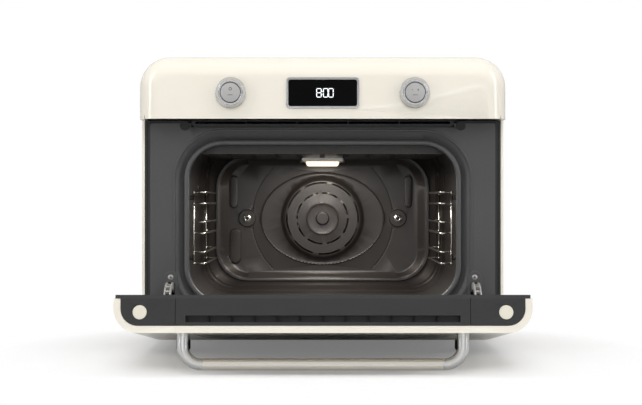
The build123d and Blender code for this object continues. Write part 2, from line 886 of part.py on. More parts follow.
def ring_heater_top():
    """The height at which the ring heater's two ends turn back."""
    return fan_z + (ring_heater_radius**2 - (ring_heater_gap / 2) ** 2) ** 0.5


def make_ring_heater():
    """The ring heater: one turn round the fan wheel, with both ends led out at the back."""
    y = dish_y + chamber_depth / 2
    gap_angle = degrees(asin(ring_heater_gap / 2 / ring_heater_radius))
    plane = Plane((0, y, fan_z), x_dir=(1, 0, 0), z_dir=(0, -1, 0))
    ring = plane * CenterArc((0, 0), ring_heater_radius, 90 + gap_angle, 360 - 2 * gap_angle)
    tube = sweep(Plane(ring @ 0, z_dir=ring % 0) * Circle(heater_tube_radius), ring)
    for side in (-1, 1):
        x = side * ring_heater_gap / 2
        tube += rod_y(x, ring_heater_top(), heater_tube_radius, y - heater_tube_radius, motor_y + 12)
    return tube


def make_grill_heater():
    """The grill heater over the ceiling panel: a flat serpentine tube."""
    front, back = grill_front_y, rim_y - grill_back_room
    end = dish_y + 22
    pitch = 2 * grill_half_width / (grill_runs + 1)
    points = [(-grill_half_width, end, grill_z), (-grill_half_width, front, grill_z)]
    for run in range(grill_runs):
        x = (run + 1) * pitch - grill_half_width
        ends = (front, back) if run % 2 == 0 else (back, front)
        points += [(x, ends[0], grill_z), (x, ends[1], grill_z)]
    points += [(grill_half_width, front, grill_z), (grill_half_width, end, grill_z)]
    return wire(points, heater_tube_radius, bend=16)


def make_ceiling_panel():
    """The slotted plate under the grill heater, with a front lip that reaches the cavity roof."""
    half = panel_half_width
    plate = box(-half, half, panel_front_y, panel_back_y, panel_z, panel_z + 1)
    plate += box(-half, half, panel_front_y, panel_front_y + 1, panel_z, muffle_high)
    room = slab(
        muffle_half_width - second_step - 0.5, muffle_low, muffle_high - 0.1, muffle_radius - second_step,
        panel_front_y - 1, panel_back_y + 1,
    )
    plate = plate & room
    pitch = 2 * (half - 18) / panel_slots
    for n in range(panel_slots):
        x = -half + 18 + (n + 0.5) * pitch
        for y in (panel_front_y + 20, panel_front_y + 100):
            plate -= box(x - 4, x + 4, y, y + 64, 0, grill_z)
    hole = lamp_box_size / 2 + clearance
    return plate - box(-hole, hole, lamp_y - hole, lamp_y + hole, 0, grill_z)


def make_lamp_housing():
    """The lamp's metal box and the frame round its lens."""
    half, bezel = lamp_box_size / 2, lamp_bezel_size / 2
    z0 = panel_z - lamp_bezel_drop
    roof = muffle_high - first_step
    frame = box(-bezel, bezel, lamp_y - bezel, lamp_y + bezel, z0, panel_z)
    frame = fillet(frame.edges().filter_by(Axis.Z), 5)
    frame += box(-half, half, lamp_y - half, lamp_y + half, panel_z, roof)
    lens = lamp_lens_size / 2 + clearance
    frame -= box(-lens, lens, lamp_y - lens, lamp_y + lens, z0 - 1, roof - 1.5)
    return frame - rod((0, lamp_y, roof - 3), (0, 0, 1), lamp_holder_radius + 0.1, 5)


def make_lamp_lens():
    """The pressed glass lens, crowned downwards."""
    half = lamp_lens_size / 2
    z0 = panel_z - lamp_bezel_drop - lamp_lens_drop
    lens = box(-half, half, lamp_y - half, lamp_y + half, z0, panel_z)
    lens = fillet(lens.edges().filter_by(Axis.Z), 6)
    return fillet(lens.faces().sort_by(Axis.Z)[0].edges(), 4)


def make_lamp_bulb():
    """The halogen capsule and its ceramic holder."""
    z0, z1 = panel_z + 12, muffle_high + insulation_thickness - 2
    capsule = rod((0, lamp_y, panel_z + 2), (0, 0, 1), lamp_holder_radius / 2, 10)
    capsule = fillet(capsule.faces().sort_by(Axis.Z)[0].edges(), lamp_holder_radius / 3)
    return capsule + rod((0, lamp_y, z0), (0, 0, 1), lamp_holder_radius, z1 - z0)


# Side racks


def make_rack(side):
    """A wire rack: two uprights and three pairs of runners, each runner bent in, back and out again."""
    rack = None
    x0, x1 = side * rack_x, side * rack_rail_x
    half_gap = rack_pair_gap / 2
    low = rack_levels[0] - half_gap - rack_wire_radius
    high = rack_levels[-1] + half_gap + rack_wire_radius
    for level in rack_levels:
        for z in (level - half_gap, level + half_gap):
            rail = wire(
                [(x0, rack_front_y, z), (x1, rack_front_y, z), (x1, rack_back_y, z), (x0, rack_back_y, z)],
                rack_wire_radius,
            )
            rack = rail if rack is None else rack + rail
    for y in (rack_front_y, rack_back_y):
        rack += rod((x0, y, low), (0, 0, 1), rack_wire_radius, high - low)
    return rack


# Controls


def make_knob(side):
    """The turning ring of a knob, with a bevelled flank and a skirt into the fascia."""
    y0 = -hood_overhang - knob_depth
    y1 = -hood_overhang - clearance
    flank = 6.0
    edge = 0.8
    bore = spigot_radius + running_clearance
    profile = Polyline(
        (knob_bore, y0 + edge), (knob_bore + edge, y0), (knob_top_radius - edge, y0),
        (knob_top_radius, y0 + edge), (knob_base_radius, y0 + flank), (knob_base_radius, y1), (bore, y1),
        (bore, y1 - knob_web), (knob_bore, y1 - knob_web), close=True,
    )
    return Pos(side * knob_x, 0, control_z) * revolve(make_face(profile), Axis.Y)


def make_button(side):
    """The push button inside a knob, with its stem."""
    x = side * knob_x
    y0 = -hood_overhang - knob_depth - button_proud
    cap = rod_y(x, control_z, button_radius, y0, y0 + button_cap)
    cap = fillet(cap.faces().sort_by(Axis.Y)[0].edges(), 0.8)
    return cap + rod_y(x, control_z, stem_radius, y0 + button_cap, encoder_y - button_travel - clearance)


def make_control_carrier():
    """The moulded carrier behind the fascia: a plate with the knobs' spigots and the board's posts."""
    y0, y1 = -hood_overhang + sheet, encoder_y + board_gap
    low, high = ordered(control_z, carrier_half_height)
    carrier = slab(knob_x + carrier_margin, low, high, 4, y0, y0 + 2)
    half_w, half_h = display_width / 2 - 2, display_height / 2 - 2
    carrier -= slab(half_w, control_z - half_h, control_z + half_h, 3, y0 - 1, y0 + 3)
    for side in (-1, 1):
        x = side * knob_x
        carrier += rod_y(x, control_z, spigot_radius, -hood_overhang - clearance - knob_web, encoder_y)
        carrier -= rod_y(x, control_z, stem_radius + running_clearance, -100, encoder_y + 1)
        for post_x in (knob_x + carrier_margin - 4.6, display_width / 2 + 10):
            for z in ordered(control_z, carrier_half_height - 4.5):
                carrier += rod_y(side * post_x, z, 3, y0, y1)
    return carrier


def make_control_board():
    """The control board, with its two rotary encoders and the light module of the display."""
    y0 = encoder_y + board_gap
    low, high = ordered(control_z, board_half_height)
    board = slab(knob_x + carrier_margin, low, high, 2, y0, y0 + board_thickness)
    half = encoder_size / 2
    for side in (-1, 1):
        x0, x1 = ordered(side * knob_x, half)
        board += box(x0, x1, encoder_y, y0, control_z - half, control_z + half)
    half_w, half_h = display_width / 2 - 9.35, display_height / 2 - 6
    return board + box(-half_w, half_w, -hood_overhang + 3, y0, control_z - half_h, control_z + half_h)


def make_display_bezel():
    """The plated frame round the display."""
    half_w, half_h = display_width / 2, display_height / 2
    y0 = -hood_overhang - 1.8
    bezel = slab(half_w, control_z - half_h, control_z + half_h, display_radius, y0, -hood_overhang)
    bezel = fillet(bezel.faces().sort_by(Axis.Y)[0].edges(), 0.9)
    return bezel - slab(
        half_w - display_border,
        control_z - half_h + display_border,
        control_z + half_h - display_border,
        display_radius - 2,
        y0 - 1,
        1,
    )


def make_display_glass():
    """The dark display window."""
    border = display_border + 0.4
    half_w, half_h = display_width / 2 - border, display_height / 2 - border
    y0, y1 = -hood_overhang - 0.9, -hood_overhang + 3
    return slab(half_w, control_z - half_h, control_z + half_h, display_radius - 2, y0, y1)


def make_power_board():
    """The power board over the cavity roof, on four posts, with its relays and transformer."""
    z0 = roof_z + sheet
    z1 = z0 + power_board_rise
    x0 = power_board_inset - half_body
    x1 = x0 + power_board_width
    y1 = back_panel_y - power_board_room
    y0 = y1 - power_board_length
    board = box(x0, x1, y0, y1, z1, z1 + 2)
    for x in (x0 + 8, x1 - 8):
        for y in (y0 + 8, y1 - 8):
            board += rod((x, y, z0), (0, 0, 1), 3, power_board_rise)
    board += box(x0 + 15, x0 + 50, y0 + 20, y0 + 55, z1 + 2, z1 + 28)
    for row in range(3):
        y = y0 + 20 + row * 26
        board += box(x0 + 60, x0 + 78, y, y + 22, z1 + 2, z1 + 18)
    return board


def make_roof_plate():
    """The sheet over the insulation that carries the blower and the power board."""
    half = half_body - sheet - clearance
    return box(-half, half, outlet_depth, back_panel_y - clearance, roof_z, roof_z + sheet)


def rod_blower(radius, z0, height):
    """A round form about the blower's upright shaft."""
    return rod((blower_x, blower_y, z0), (0, 0, 1), radius, height)


def make_blower_housing():
    """The cooling blower's scroll, with its throat in front and its motor on a spider over the eye."""
    z0, z1 = roof_z + sheet, roof_z + sheet + blower_height
    t = sheet
    x0 = blower_x - blower_radius
    scroll = rod_blower(blower_radius, z0, blower_height)
    scroll += box(x0, x0 + blower_throat, blower_y - blower_neck, blower_y, z0, z1)
    scroll -= rod_blower(blower_radius - t, z0 + t, blower_height - 2 * t)
    y0 = blower_y - blower_neck - 1
    scroll -= box(x0 + t, x0 + blower_throat - t, y0, blower_y, z0 + t, z1 - t)
    scroll -= rod_blower(blower_wheel_radius - 14, z1 - 2, 5)
    scroll += rod_blower(22, z1, 22)
    axis = Axis((blower_x, blower_y, 0), (0, 0, 1))
    for n in range(4):
        arm = box(blower_x - 4, blower_x + 4, blower_y, blower_y + 40, z1, z1 + 2)
        scroll += arm.rotate(axis, n * 90)
    return scroll - rod_blower(blower_shaft_radius + running_clearance, z1 - 1, 20)


def make_blower_wheel():
    """The blower's vaned wheel and its shaft."""
    z0 = roof_z + 2 * sheet + 2
    axis = Axis((blower_x, blower_y, 0), (0, 0, 1))
    wheel = rod_blower(blower_wheel_radius, z0, 1.5)
    for n in range(blower_vanes):
        far = blower_y + blower_wheel_radius
        vane = box(blower_x - 0.6, blower_x + 0.6, far - 10, far, z0, z0 + 28)
        wheel += vane.rotate(axis, n * 360 / blower_vanes)
    wheel += rod_blower(8, z0, 16)
    return wheel + rod_blower(blower_shaft_radius, z0, blower_height + 6)


def make_air_duct():
    """The flared duct from the blower's throat to the outlet strip."""
    z0 = roof_z + sheet

    def frame_at(grow, x, y, half, z_low, z_high):
        plane = Plane((x, y, (z_low + z_high) / 2), x_dir=(1, 0, 0), z_dir=(0, -1, 0))
        return plane * Rectangle(2 * (half + grow), z_high - z_low + 2 * grow)

    def flare(grow):
        middle = blower_x - blower_radius + blower_throat / 2
        y0 = blower_y - blower_neck
        rear = frame_at(grow, middle, y0, blower_throat / 2, z0, z0 + blower_height)
        front = frame_at(grow, 0, outlet_depth, outlet_half_width, z0, hood_bottom)
        return loft([rear, front], ruled=True)

    return flare(0) - flare(-1.2)


# Water and steam


def tank_x():
    """The tank's inner and outer walls."""
    outer = half_body - sheet - 2.0
    return outer - tank_depth, outer


def make_tank():
    """The water tank: an open box behind a face that is flush with the side panel."""
    x0, x1 = tank_x()
    tank = box(x0, x1, tank_y[0], tank_y[1], tank_z[0], tank_z[1])
    tank = fillet(tank.edges().filter_by(Axis.Z), 5)
    t = tank_wall
    room = box(x0 + t, x1 - t, tank_y[0] + t, tank_y[1] - t, tank_z[0] + t, tank_z[1] + 1)
    return tank - fillet(room.edges().filter_by(Axis.Z), 5 - t) + tank_face()


def tank_face():
    """The tank's outer face, with a finger pull."""
    x0, x1 = tank_x()[1], half_body
    y0, y1 = tank_y[0] - tank_face_margin, tank_y[1] + tank_face_margin
    z0, z1 = tank_z[0] - tank_face_margin, tank_z[1] + tank_face_margin
    plane = Plane((x0, (y0 + y1) / 2, (z0 + z1) / 2), x_dir=(0, 1, 0), z_dir=(1, 0, 0))
    face = extrude(plane * RectangleRounded(y1 - y0, z1 - z0, 10), x1 - x0)
    face = fillet(face.faces().sort_by(Axis.X)[-1].edges(), 0.8)
    pull = Plane((x1 - 2.4, y0 + 26, (z0 + z1) / 2), x_dir=(0, 1, 0), z_dir=(1, 0, 0))
    return face - extrude(pull * SlotOverall(60, 18, rotation=90), 5)


def make_tank_lid():
    """The tank's lid, with a raised filler cap."""
    x0, x1 = tank_x()
    top = tank_z[1] + tank_lid_height
    lid = box(x0, x1, tank_y[0], tank_y[1], tank_z[1], top)
    lid = fillet(lid.edges().filter_by(Axis.Z), 5)
    return lid + rod(((x0 + x1) / 2, tank_y[0] + 30, top), (0, 0, 1), 11, 3)


def make_tank_bay():
    """The bay that the tank slides into, open to the side, on two legs."""
    x0, x1 = tank_x()
    gap = 1.0
    t = bay_wall
    y0, y1 = tank_y[0] - gap, tank_y[1] + gap
    z0, z1 = tank_z[0] - clearance, tank_z[1] + tank_lid_height + 4
    shell = box(x0 - gap - t, x1 - clearance, y0 - t, y1 + t, z0 - t, z1 + t)
    shell -= box(x0 - gap, half_body, y0, y1, z0, z1)
    for y in (tank_y[0] + 16, tank_y[1] - 16):
        shell += box(x0 + 2, x1 - 2, y, y + 2, pan_top, z0 - t)
    x, z = pump_place()
    return shell - rod_y(x, z, hose_radius + 1, pump_y + pump_length, tank_y[1])


def make_pump():
    """The water pump on the base."""
    x, z = pump_place()
    nose = 12.0
    pump = box(x - 15, x + 15, pump_y, pump_y + pump_length, pan_top, pan_top + 4)
    pump += rod((x, pump_y, z), (0, 1, 0), 14, pump_length - nose)
    pump += box(x - 11, x + 11, pump_y + 4, pump_y + 34, pan_top + 4, z)
    return pump + rod((x, pump_y + pump_length - nose, z), (0, 1, 0), 8, nose)


def pump_place():
    """The place of the pump's axis across and up."""
    return (tank_x()[0] + tank_x()[1]) / 2, pan_top + 20


def boiler_x():
    """The middle of the steam generator, left of the cavity."""
    return -half_body + sheet + 5 + boiler_depth / 2


def make_boiler():
    """The steam generator: a flat cast chamber with cast ribs and a steam neck."""
    x0, x1 = ordered(boiler_x(), boiler_depth / 2)
    y0, y1 = ordered(steam_y, boiler_length / 2)
    body = box(x0, x1, y0, y1, boiler_low, boiler_high)
    body = fillet(body.edges().filter_by(Axis.X), 10)
    for n in range(5):
        z = boiler_low + 13 + n * 15
        body += box(x0 - 3, x0, y0 + 8, y1 - 8, z, z + 3)
    return body + rod((boiler_x(), steam_y, boiler_high), (0, 0, 1), 6, 6)


def steam_pipe():
    """The steam pipe from the generator into the cavity's left wall."""
    x = boiler_x()
    points = [
        (x, steam_y, boiler_high + 6), (x, steam_y, steam_z), (-muffle_half_width + 2, steam_y, steam_z)
    ]
    return wire(points, hose_radius, bend=9)


def feed_hose():
    """The silicone hose from the pump, along the base at the back, to the generator."""
    x0, z = pump_place()
    x1 = boiler_x()
    y0, y1, y2 = pump_y + pump_length, back_panel_y - hose_front_room, back_panel_y - hose_back_room
    y4 = steam_y + boiler_length / 2
    y3 = y4 + 30
    z1 = boiler_low + 40
    points = [
        (x0, y0, z), (x0, y1, z), (x0 - 36, y2, z - 6), (x1 + 40, y2, z - 6), (x1, y1, z),
        (x1, y3, z + 8), (x1, y3, z1), (x1, y4, z1),
    ]
    return wire(points, hose_radius, bend=14)


def suction_hose():
    """The short hose from the tank bay's valve down to the pump."""
    x, z = pump_place()
    top = tank_z[0] - clearance - bay_wall
    points = [(x, pump_y - 24, top), (x, pump_y - 24, z), (x, pump_y, z)]
    return wire(points, hose_radius, bend=12)


# Hinges on the body


def make_hinge_bracket(side):
    """The bracket that stands out of the frame and carries the door's pivot pin."""
    x0, x1 = ordered(side * bracket_x, bracket_thickness / 2)
    nose = hinge_pin_radius + 4
    plate = box(x0, x1, pivot_y - nose, bracket_back_y, pivot_z - nose, pivot_z + nose)
    ends = [e for e in plate.edges().filter_by(Axis.X) if e.center().Y < pivot_y]
    plate = fillet(ends, nose - 0.5)
    plate += box(x0, x1, 4, bracket_back_y, pan_top, pivot_z + 17)
    x2, x3 = sorted((side * bracket_x, side * (bracket_x - 16)))
    plate += box(x2, x3, 4, bracket_back_y, pan_top, pan_top + 2)
    return plate + pivot_pin(side)


def pivot_pin(side):
    """The pivot pin riveted in a bracket: a shank for the door's leaf, and a flat head."""
    start = side * (bracket_x - bracket_thickness / 2)
    length = bracket_thickness + leaf_gap + leaf_thickness + 2
    shank = rod((start, pivot_y, pivot_z), (side, 0, 0), hinge_pin_radius, length)
    return shank + rod((start, pivot_y, pivot_z), (-side, 0, 0), hinge_pin_radius + 1.5, 1)


# Door, drawn closed and then swung open


def door_plan(inset, y0, y1, z0, z1):
    """The door's plan outline from z0 to z1, drawn in by inset: square at the back, rounded in front."""
    half = half_body - inset
    form = box(-half, half, y0 + inset, y1, z0, z1)
    corners = [e for e in form.edges().filter_by(Axis.Z) if e.center().Y < (y0 + y1) / 2]
    return fillet(corners, door_corner_radius - inset)


def door_form(inset, y1, z1):
    """The door's outer form, drawn in by inset, with its rounded lower edge."""
    z0 = door_bottom + inset
    form = door_plan(inset, door_outer_y, y1, z0, z1)
    low = form.faces().sort_by(Axis.Z)[0].edges()
    return fillet([e for e in low if e.center().Y < y1 - 1], door_bottom_radius - inset)


def heel_cut():
    """What the door's lower inner corner loses, so that it clears the front frame as the door swings."""
    reach = half_body + 1
    corner = box(-reach, reach, pivot_y, door_inner_y + 1, door_bottom - 1, pivot_z)
    return corner - rod((-reach, pivot_y, pivot_z), (1, 0, 0), heel_radius, 2 * reach)


def make_door_shell():
    """The door's painted shell: skin, rounded sides, turned-in top rim and a window cut-out."""
    y1 = door_inner_y - door_flange
    z1 = door_top - rim_step
    shell = door_form(0, y1, z1) - door_form(sheet, y1 + 3, z1 - 2) - heel_cut()
    shell -= door_plan(door_rim, door_outer_y, y1 + 3, z1 - 3, z1 + 1)
    low_y, high_y = door_outer_y - 1, door_outer_y + 3
    shell -= slab(window_half_width, window_low, window_high, window_radius, low_y, high_y)
    for side in (-1, 1):
        x0, x1 = ordered(side * end_cap_x, 0.25)
        shell -= box(x0, x1, low_y, y1, z1 - 0.5, z1 + 1)
        shell -= rod_y(side * handle_half_width, handle_z, handle_screw_radius + 0.2, low_y, high_y)
        shell -= door_bracket_cut(side)
    return shell


def make_outer_glass():
    """The outer window pane: flush in the shell, with a wider back that seats behind the skin."""
    low, high = window_low, window_high
    y0, y1 = door_outer_y, door_outer_y + sheet
    gap = clearance
    pane = slab(window_half_width - gap, low + gap, high - gap, window_radius - gap, y0, y1)
    lap = 8.0
    return pane + slab(window_half_width + lap, low - lap, high + lap, window_radius + lap, y1, y1 + 3)


def make_inner_tray():
    """The dark inner tray: the flange that shows round the door, and the seat of the inner glass."""
    y0, y1 = door_inner_y - door_flange, door_inner_y
    tray = slab(half_body - 2, door_bottom + 1, door_top, 2, y0, y1) - heel_cut()
    half, low, high = inner_glass_half_width, inner_glass_low, inner_glass_high
    seat, gap = glass_seat, clearance
    tray -= slab(half - seat, low + seat, high - seat, inner_glass_radius, y0 - 1, y1 + 1)
    tray -= slab(
        half + gap, low - gap, high + gap, inner_glass_radius + gap, y1 - inner_glass_thickness, y1 + 1
    )
    for side in (-1, 1):
        tray -= door_bracket_cut(side)
        tray -= door_arm_cut(side)
    return tray


def door_bracket_cut(side):
    """The room that the fixed hinge bracket needs in the door's lower end."""
    x0, x1 = ordered(side * bracket_x, bracket_thickness / 2 + 1.5)
    nose = hinge_pin_radius + 4
    return box(x0, x1, pivot_y - nose - 4, door_inner_y + 1, door_bottom - 1, pivot_z + nose + 8)


def door_arm_cut(side):
    """The hole in the tray that the stay arm comes out of."""
    x0, x1 = ordered(side * hinge_x, hinge_arm_width / 2 + 0.5)
    z0 = pivot_z + hinge_arm_radius - hinge_arm_height - 5
    z1 = pivot_z + hinge_arm_radius + hinge_arm_height / 2 + 1
    return box(x0, x1, -20, door_inner_y + 1, z0, z1)


def make_inner_glass():
    """The inner window pane, seated in the tray."""
    y0, y1 = door_inner_y - inner_glass_thickness, door_inner_y
    return slab(inner_glass_half_width, inner_glass_low, inner_glass_high, inner_glass_radius, y0, y1)


def trim_form():
    """The dark block inside the shell's top rim."""
    y1 = door_inner_y - door_flange
    return door_plan(door_rim + clearance, door_outer_y, y1, door_top - trim_depth, door_top)


def make_top_trim():
    """The middle of the door's top trim, with its long ribbed air slot."""
    edge = end_cap_x - clearance
    trim = trim_form() & box(-edge, edge, -100, 0, 0, overall_height)
    y0, y1 = ordered(door_inner_y - vent_offset, vent_width / 2)
    half = vent_half_length
    trim -= box(-half, half, y0, y1, door_top - trim_depth - 1, door_top + 1)
    pitch = 2 * half / vent_cells
    for n in range(1, vent_cells):
        x0, x1 = ordered(n * pitch - half, 0.6)
        trim += box(x0, x1, y0, y1, door_top - trim_depth, door_top - 2.5)
    return trim


def make_end_caps():
    """The two end blocks of the door's top trim."""
    form = trim_form()

    def cap(side):
        x0, x1 = sorted((side * (end_cap_x + clearance), side * half_body))
        piece = form & box(x0, x1, -100, 0, 0, overall_height)
        return piece - rod((side * plug_x, plug_y, door_top - 3), (0, 0, 1), plug_radius + 0.1, 5)

    return group(both_sides(cap))


def make_plugs():
    """The two round cream plugs in the end blocks."""
    def plug(side):
        disc = rod((side * plug_x, plug_y, door_top - 3), (0, 0, 1), plug_radius, 3.4)
        return fillet(disc.faces().sort_by(Axis.Z)[-1].edges(), 0.8)

    return group(both_sides(plug))


def make_handle_bar():
    """The straight tube of the handle, between its two elbows."""
    y1 = door_outer_y - handle_standoff
    return rod((-handle_seam_x, y1, handle_z), (1, 0, 0), handle_radius, 2 * handle_seam_x)


def make_handle_elbows():
    """The handle's two cast elbows, from the door's face round to the bar."""
    y0, y1 = door_outer_y, door_outer_y - handle_standoff
    z = handle_z

    def elbow(side):
        x = side * handle_half_width
        path = FilletPolyline((x, y0, z), (x, y1, z), (side * handle_seam_x, y1, z), radius=handle_bend)
        bend = sweep(Plane(path @ 0, z_dir=path % 0) * Circle(handle_radius), path)
        return bend - rod_y(x, z, handle_screw_radius + 0.05, y0 - handle_screw_length, y0 + 1)

    return group(both_sides(elbow))


def make_handle_screws():
    """The screws through the shell into the handle's elbows."""
    def screw(side):
        x = side * handle_half_width
        y = door_outer_y + sheet
        shank = rod_y(x, handle_z, handle_screw_radius, y - handle_screw_length, y)
        return shank + rod_y(x, handle_z, 2 * handle_screw_radius, y, y + 4)

    return group(both_sides(screw))


def arm_sector(side, half_width, r0, r1, start, end):
    """A curved bar about the pivot between two radii and two angles from +Y, with the door closed."""
    plane = Plane((side * hinge_x - half_width, pivot_y, pivot_z), x_dir=(0, 1, 0), z_dir=(1, 0, 0))
    reach = 2 * r1
    corners = [(0, 0)]
    for angle in (start, (start + end) / 2, end):
        corners.append((reach * cos(radians(angle)), reach * sin(radians(angle))))
    sector = make_face(Polyline(*corners, close=True))
    return extrude(plane * ((Circle(r1) - Circle(r0)) & sector), 2 * half_width)


def make_door_hinge(side):
    """The door's half of a hinge: a leaf with the pivot bore and a ladder-like arm curved about the pivot."""
    half = hinge_arm_width / 2
    r0, r1 = ordered(hinge_arm_radius, hinge_arm_height / 2)
    arm = arm_sector(side, half, r0, r1, hinge_arm_tail, hinge_arm_root)
    arm -= arm_sector(side, half - hinge_plate, r0 - 1, r1 + 1, hinge_arm_tail - 5, hinge_arm_root - 8)
    for n in range(rungs):
        angle = hinge_arm_tail + 3 + n * (hinge_arm_root - hinge_arm_tail - 14) / (rungs - 1)
        arm += arm_sector(side, half - 0.2, r0 + 3, r1 - 2, angle - 1.8, angle + 1.8)
    x0 = side * (bracket_x + bracket_thickness / 2 + leaf_gap)
    x1 = x0 + side * leaf_thickness
    low, high = sorted((x0, x1))
    y1 = door_inner_y - door_flange
    leaf = box(low, high, pivot_y - 6, y1, pivot_z - 6, pivot_z + hinge_arm_radius + 15)
    leaf -= rod((low - 1, pivot_y, pivot_z), (1, 0, 0), hinge_pin_radius + running_clearance, 6)
    near, far = sorted((side * (bracket_x + 4), side * (hinge_x + half)))
    z0, z1 = ordered(pivot_z + hinge_arm_radius, 3)
    return arm + leaf + box(near, far, pivot_y - 5, pivot_y, z0, z1)


# Build, place and write every piece

root_parts = {
    "hood": make_hood,
    "hood_underplate": make_hood_underplate,
    "side_panel_left": lambda: make_side_panel(-1),
    "side_panel_right": lambda: make_side_panel(1),
    "rear_panel": make_rear_panel,
    "cable_inlet": make_cable_inlet,
    "base_pan": make_base_pan,
    "feet": make_feet,
    "front_frame": make_front_frame,
    "cavity_gasket": make_gasket,
    "side_trims": lambda: group(both_sides(make_side_trim)),
    "air_outlet": make_air_outlet,
    "door_bumpers": make_bumpers,
    "hinge_screws": make_boss_screws,
    "cavity_muffle": make_muffle,
    "insulation": make_insulation,
    "fan_cover": make_fan_cover,
    "fan_cover_nuts": make_fan_cover_nuts,
    "fan_impeller": make_impeller,
    "fan_shaft": make_fan_shaft,
    "fan_motor": make_fan_motor,
    "ring_heater": make_ring_heater,
    "grill_heater": make_grill_heater,
    "ceiling_panel": make_ceiling_panel,
    "lamp_housing": make_lamp_housing,
    "lamp_lens": make_lamp_lens,
    "lamp_bulb": make_lamp_bulb,
    "rack_left": lambda: make_rack(-1),
    "rack_right": lambda: make_rack(1),
    "knob_left": lambda: make_knob(-1),
    "knob_right": lambda: make_knob(1),
    "button_left": lambda: make_button(-1),
    "button_right": lambda: make_button(1),
    "control_carrier": make_control_carrier,
    "control_board": make_control_board,
    "display_bezel": make_display_bezel,
    "display_glass": make_display_glass,
    "power_board": make_power_board,
    "roof_plate": make_roof_plate,
    "blower_housing": make_blower_housing,
    "blower_wheel": make_blower_wheel,
    "air_duct": make_air_duct,
    "tank_bay": make_tank_bay,
    "water_tank": make_tank,
    "tank_lid": make_tank_lid,
    "water_pump": make_pump,
    "water_and_steam_lines": lambda: group([suction_hose(), feed_hose(), steam_pipe()]),
    "steam_generator": make_boiler,
    "hinge_brackets": lambda: group(both_sides(make_hinge_bracket)),
}

door_parts = {
    "door_shell": make_door_shell,
    "door_outer_glass": make_outer_glass,
    "door_inner_tray": make_inner_tray,
    "door_inner_glass": make_inner_glass,
    "door_top_trim": make_top_trim,
    "door_end_caps": make_end_caps,
    "door_plugs": make_plugs,
    "handle_bar": make_handle_bar,
    "handle_elbows": make_handle_elbows,
    "handle_screws": make_handle_screws,
    "door_hinges": lambda: group(both_sides(make_door_hinge)),
}


def write(name, shape, opened):
    """Moves one piece to its place and writes its file."""
    if opened:
        shape = shape.rotate(hinge_axis, door_open_degrees)
    shape = Pos(0, front_y, 0) * shape
    export_step(shape, f"parts/{name}.step")


def main():
    """Builds every piece and writes it."""
    os.makedirs("parts", exist_ok=True)
    for name, make in root_parts.items():
        write(name, make(), False)
    for name, make in door_parts.items():
        write(name, make(), True)


if __name__ == "__main__":
    main()
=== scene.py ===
import json
import math

import bmesh
import bpy
import numpy as np
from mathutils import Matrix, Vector


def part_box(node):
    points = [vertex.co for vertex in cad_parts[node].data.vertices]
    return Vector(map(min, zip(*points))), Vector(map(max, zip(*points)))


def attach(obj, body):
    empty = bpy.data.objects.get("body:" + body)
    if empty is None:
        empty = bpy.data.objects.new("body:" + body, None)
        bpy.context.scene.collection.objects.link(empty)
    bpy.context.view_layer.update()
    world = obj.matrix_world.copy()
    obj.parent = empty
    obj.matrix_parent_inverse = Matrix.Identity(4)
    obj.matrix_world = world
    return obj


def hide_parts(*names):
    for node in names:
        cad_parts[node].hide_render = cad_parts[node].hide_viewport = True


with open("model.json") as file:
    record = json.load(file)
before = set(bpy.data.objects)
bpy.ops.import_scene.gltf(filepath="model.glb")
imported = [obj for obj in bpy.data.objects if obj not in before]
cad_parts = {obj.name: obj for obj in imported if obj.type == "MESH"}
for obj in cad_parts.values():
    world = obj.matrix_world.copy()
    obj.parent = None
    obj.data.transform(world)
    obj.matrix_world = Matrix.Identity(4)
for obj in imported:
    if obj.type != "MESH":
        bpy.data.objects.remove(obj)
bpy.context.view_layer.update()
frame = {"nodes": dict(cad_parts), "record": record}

# An open countertop steam oven: cream enamel casing, charcoal front frame, brown-black cavity.
# Sizes are in millimetres. Depth is counted from the face of the front frame, towards the back.

SHEET_BACK = 408.5
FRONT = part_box("rear_panel")[1][1] * 1000 - SHEET_BACK
BODY = "body"
DOOR = "door"
SIDES = (("left", -1), ("right", 1))

CONTROL_Z = 354.0
KNOB_X = 123.4
FASCIA = -47.0
KNOB_FACE = FASCIA - 11.0
PIVOT_Y = -18.0
PIVOT_Z = 49.25
DOOR_TOP = 316.5
DOOR_OPEN = 83.0
SLOT_Y = -30.4
SLOT_HALF = 3.95


# Shader maths


class Value:
    """A shader socket. Arithmetic with a number or another Value adds a Math node and gives its result."""

    def __init__(self, finish, socket):
        self.finish = finish
        self.socket = socket

    def maths(self, operation, *terms, clamp=False):
        """One Math node on the given terms."""
        settings = {"operation": operation, "use_clamp": clamp}
        return self.finish.node("ShaderNodeMath", settings, dict(enumerate(terms)))

    def __add__(self, other):
        return self.maths("ADD", self, other)

    def __radd__(self, other):
        return self.maths("ADD", other, self)

    def __sub__(self, other):
        return self.maths("SUBTRACT", self, other)

    def __rsub__(self, other):
        return self.maths("SUBTRACT", other, self)

    def __mul__(self, other):
        return self.maths("MULTIPLY", self, other)

    def __rmul__(self, other):
        return self.maths("MULTIPLY", other, self)

    def __truediv__(self, other):
        return self.maths("DIVIDE", self, other)

    def above(self, edge):
        """1 where the value is over the edge, and 0 elsewhere."""
        return self.maths("GREATER_THAN", self, edge)

    def clamped(self):
        """The value held between 0 and 1."""
        return self.maths("ADD", self, 0.0, clamp=True)


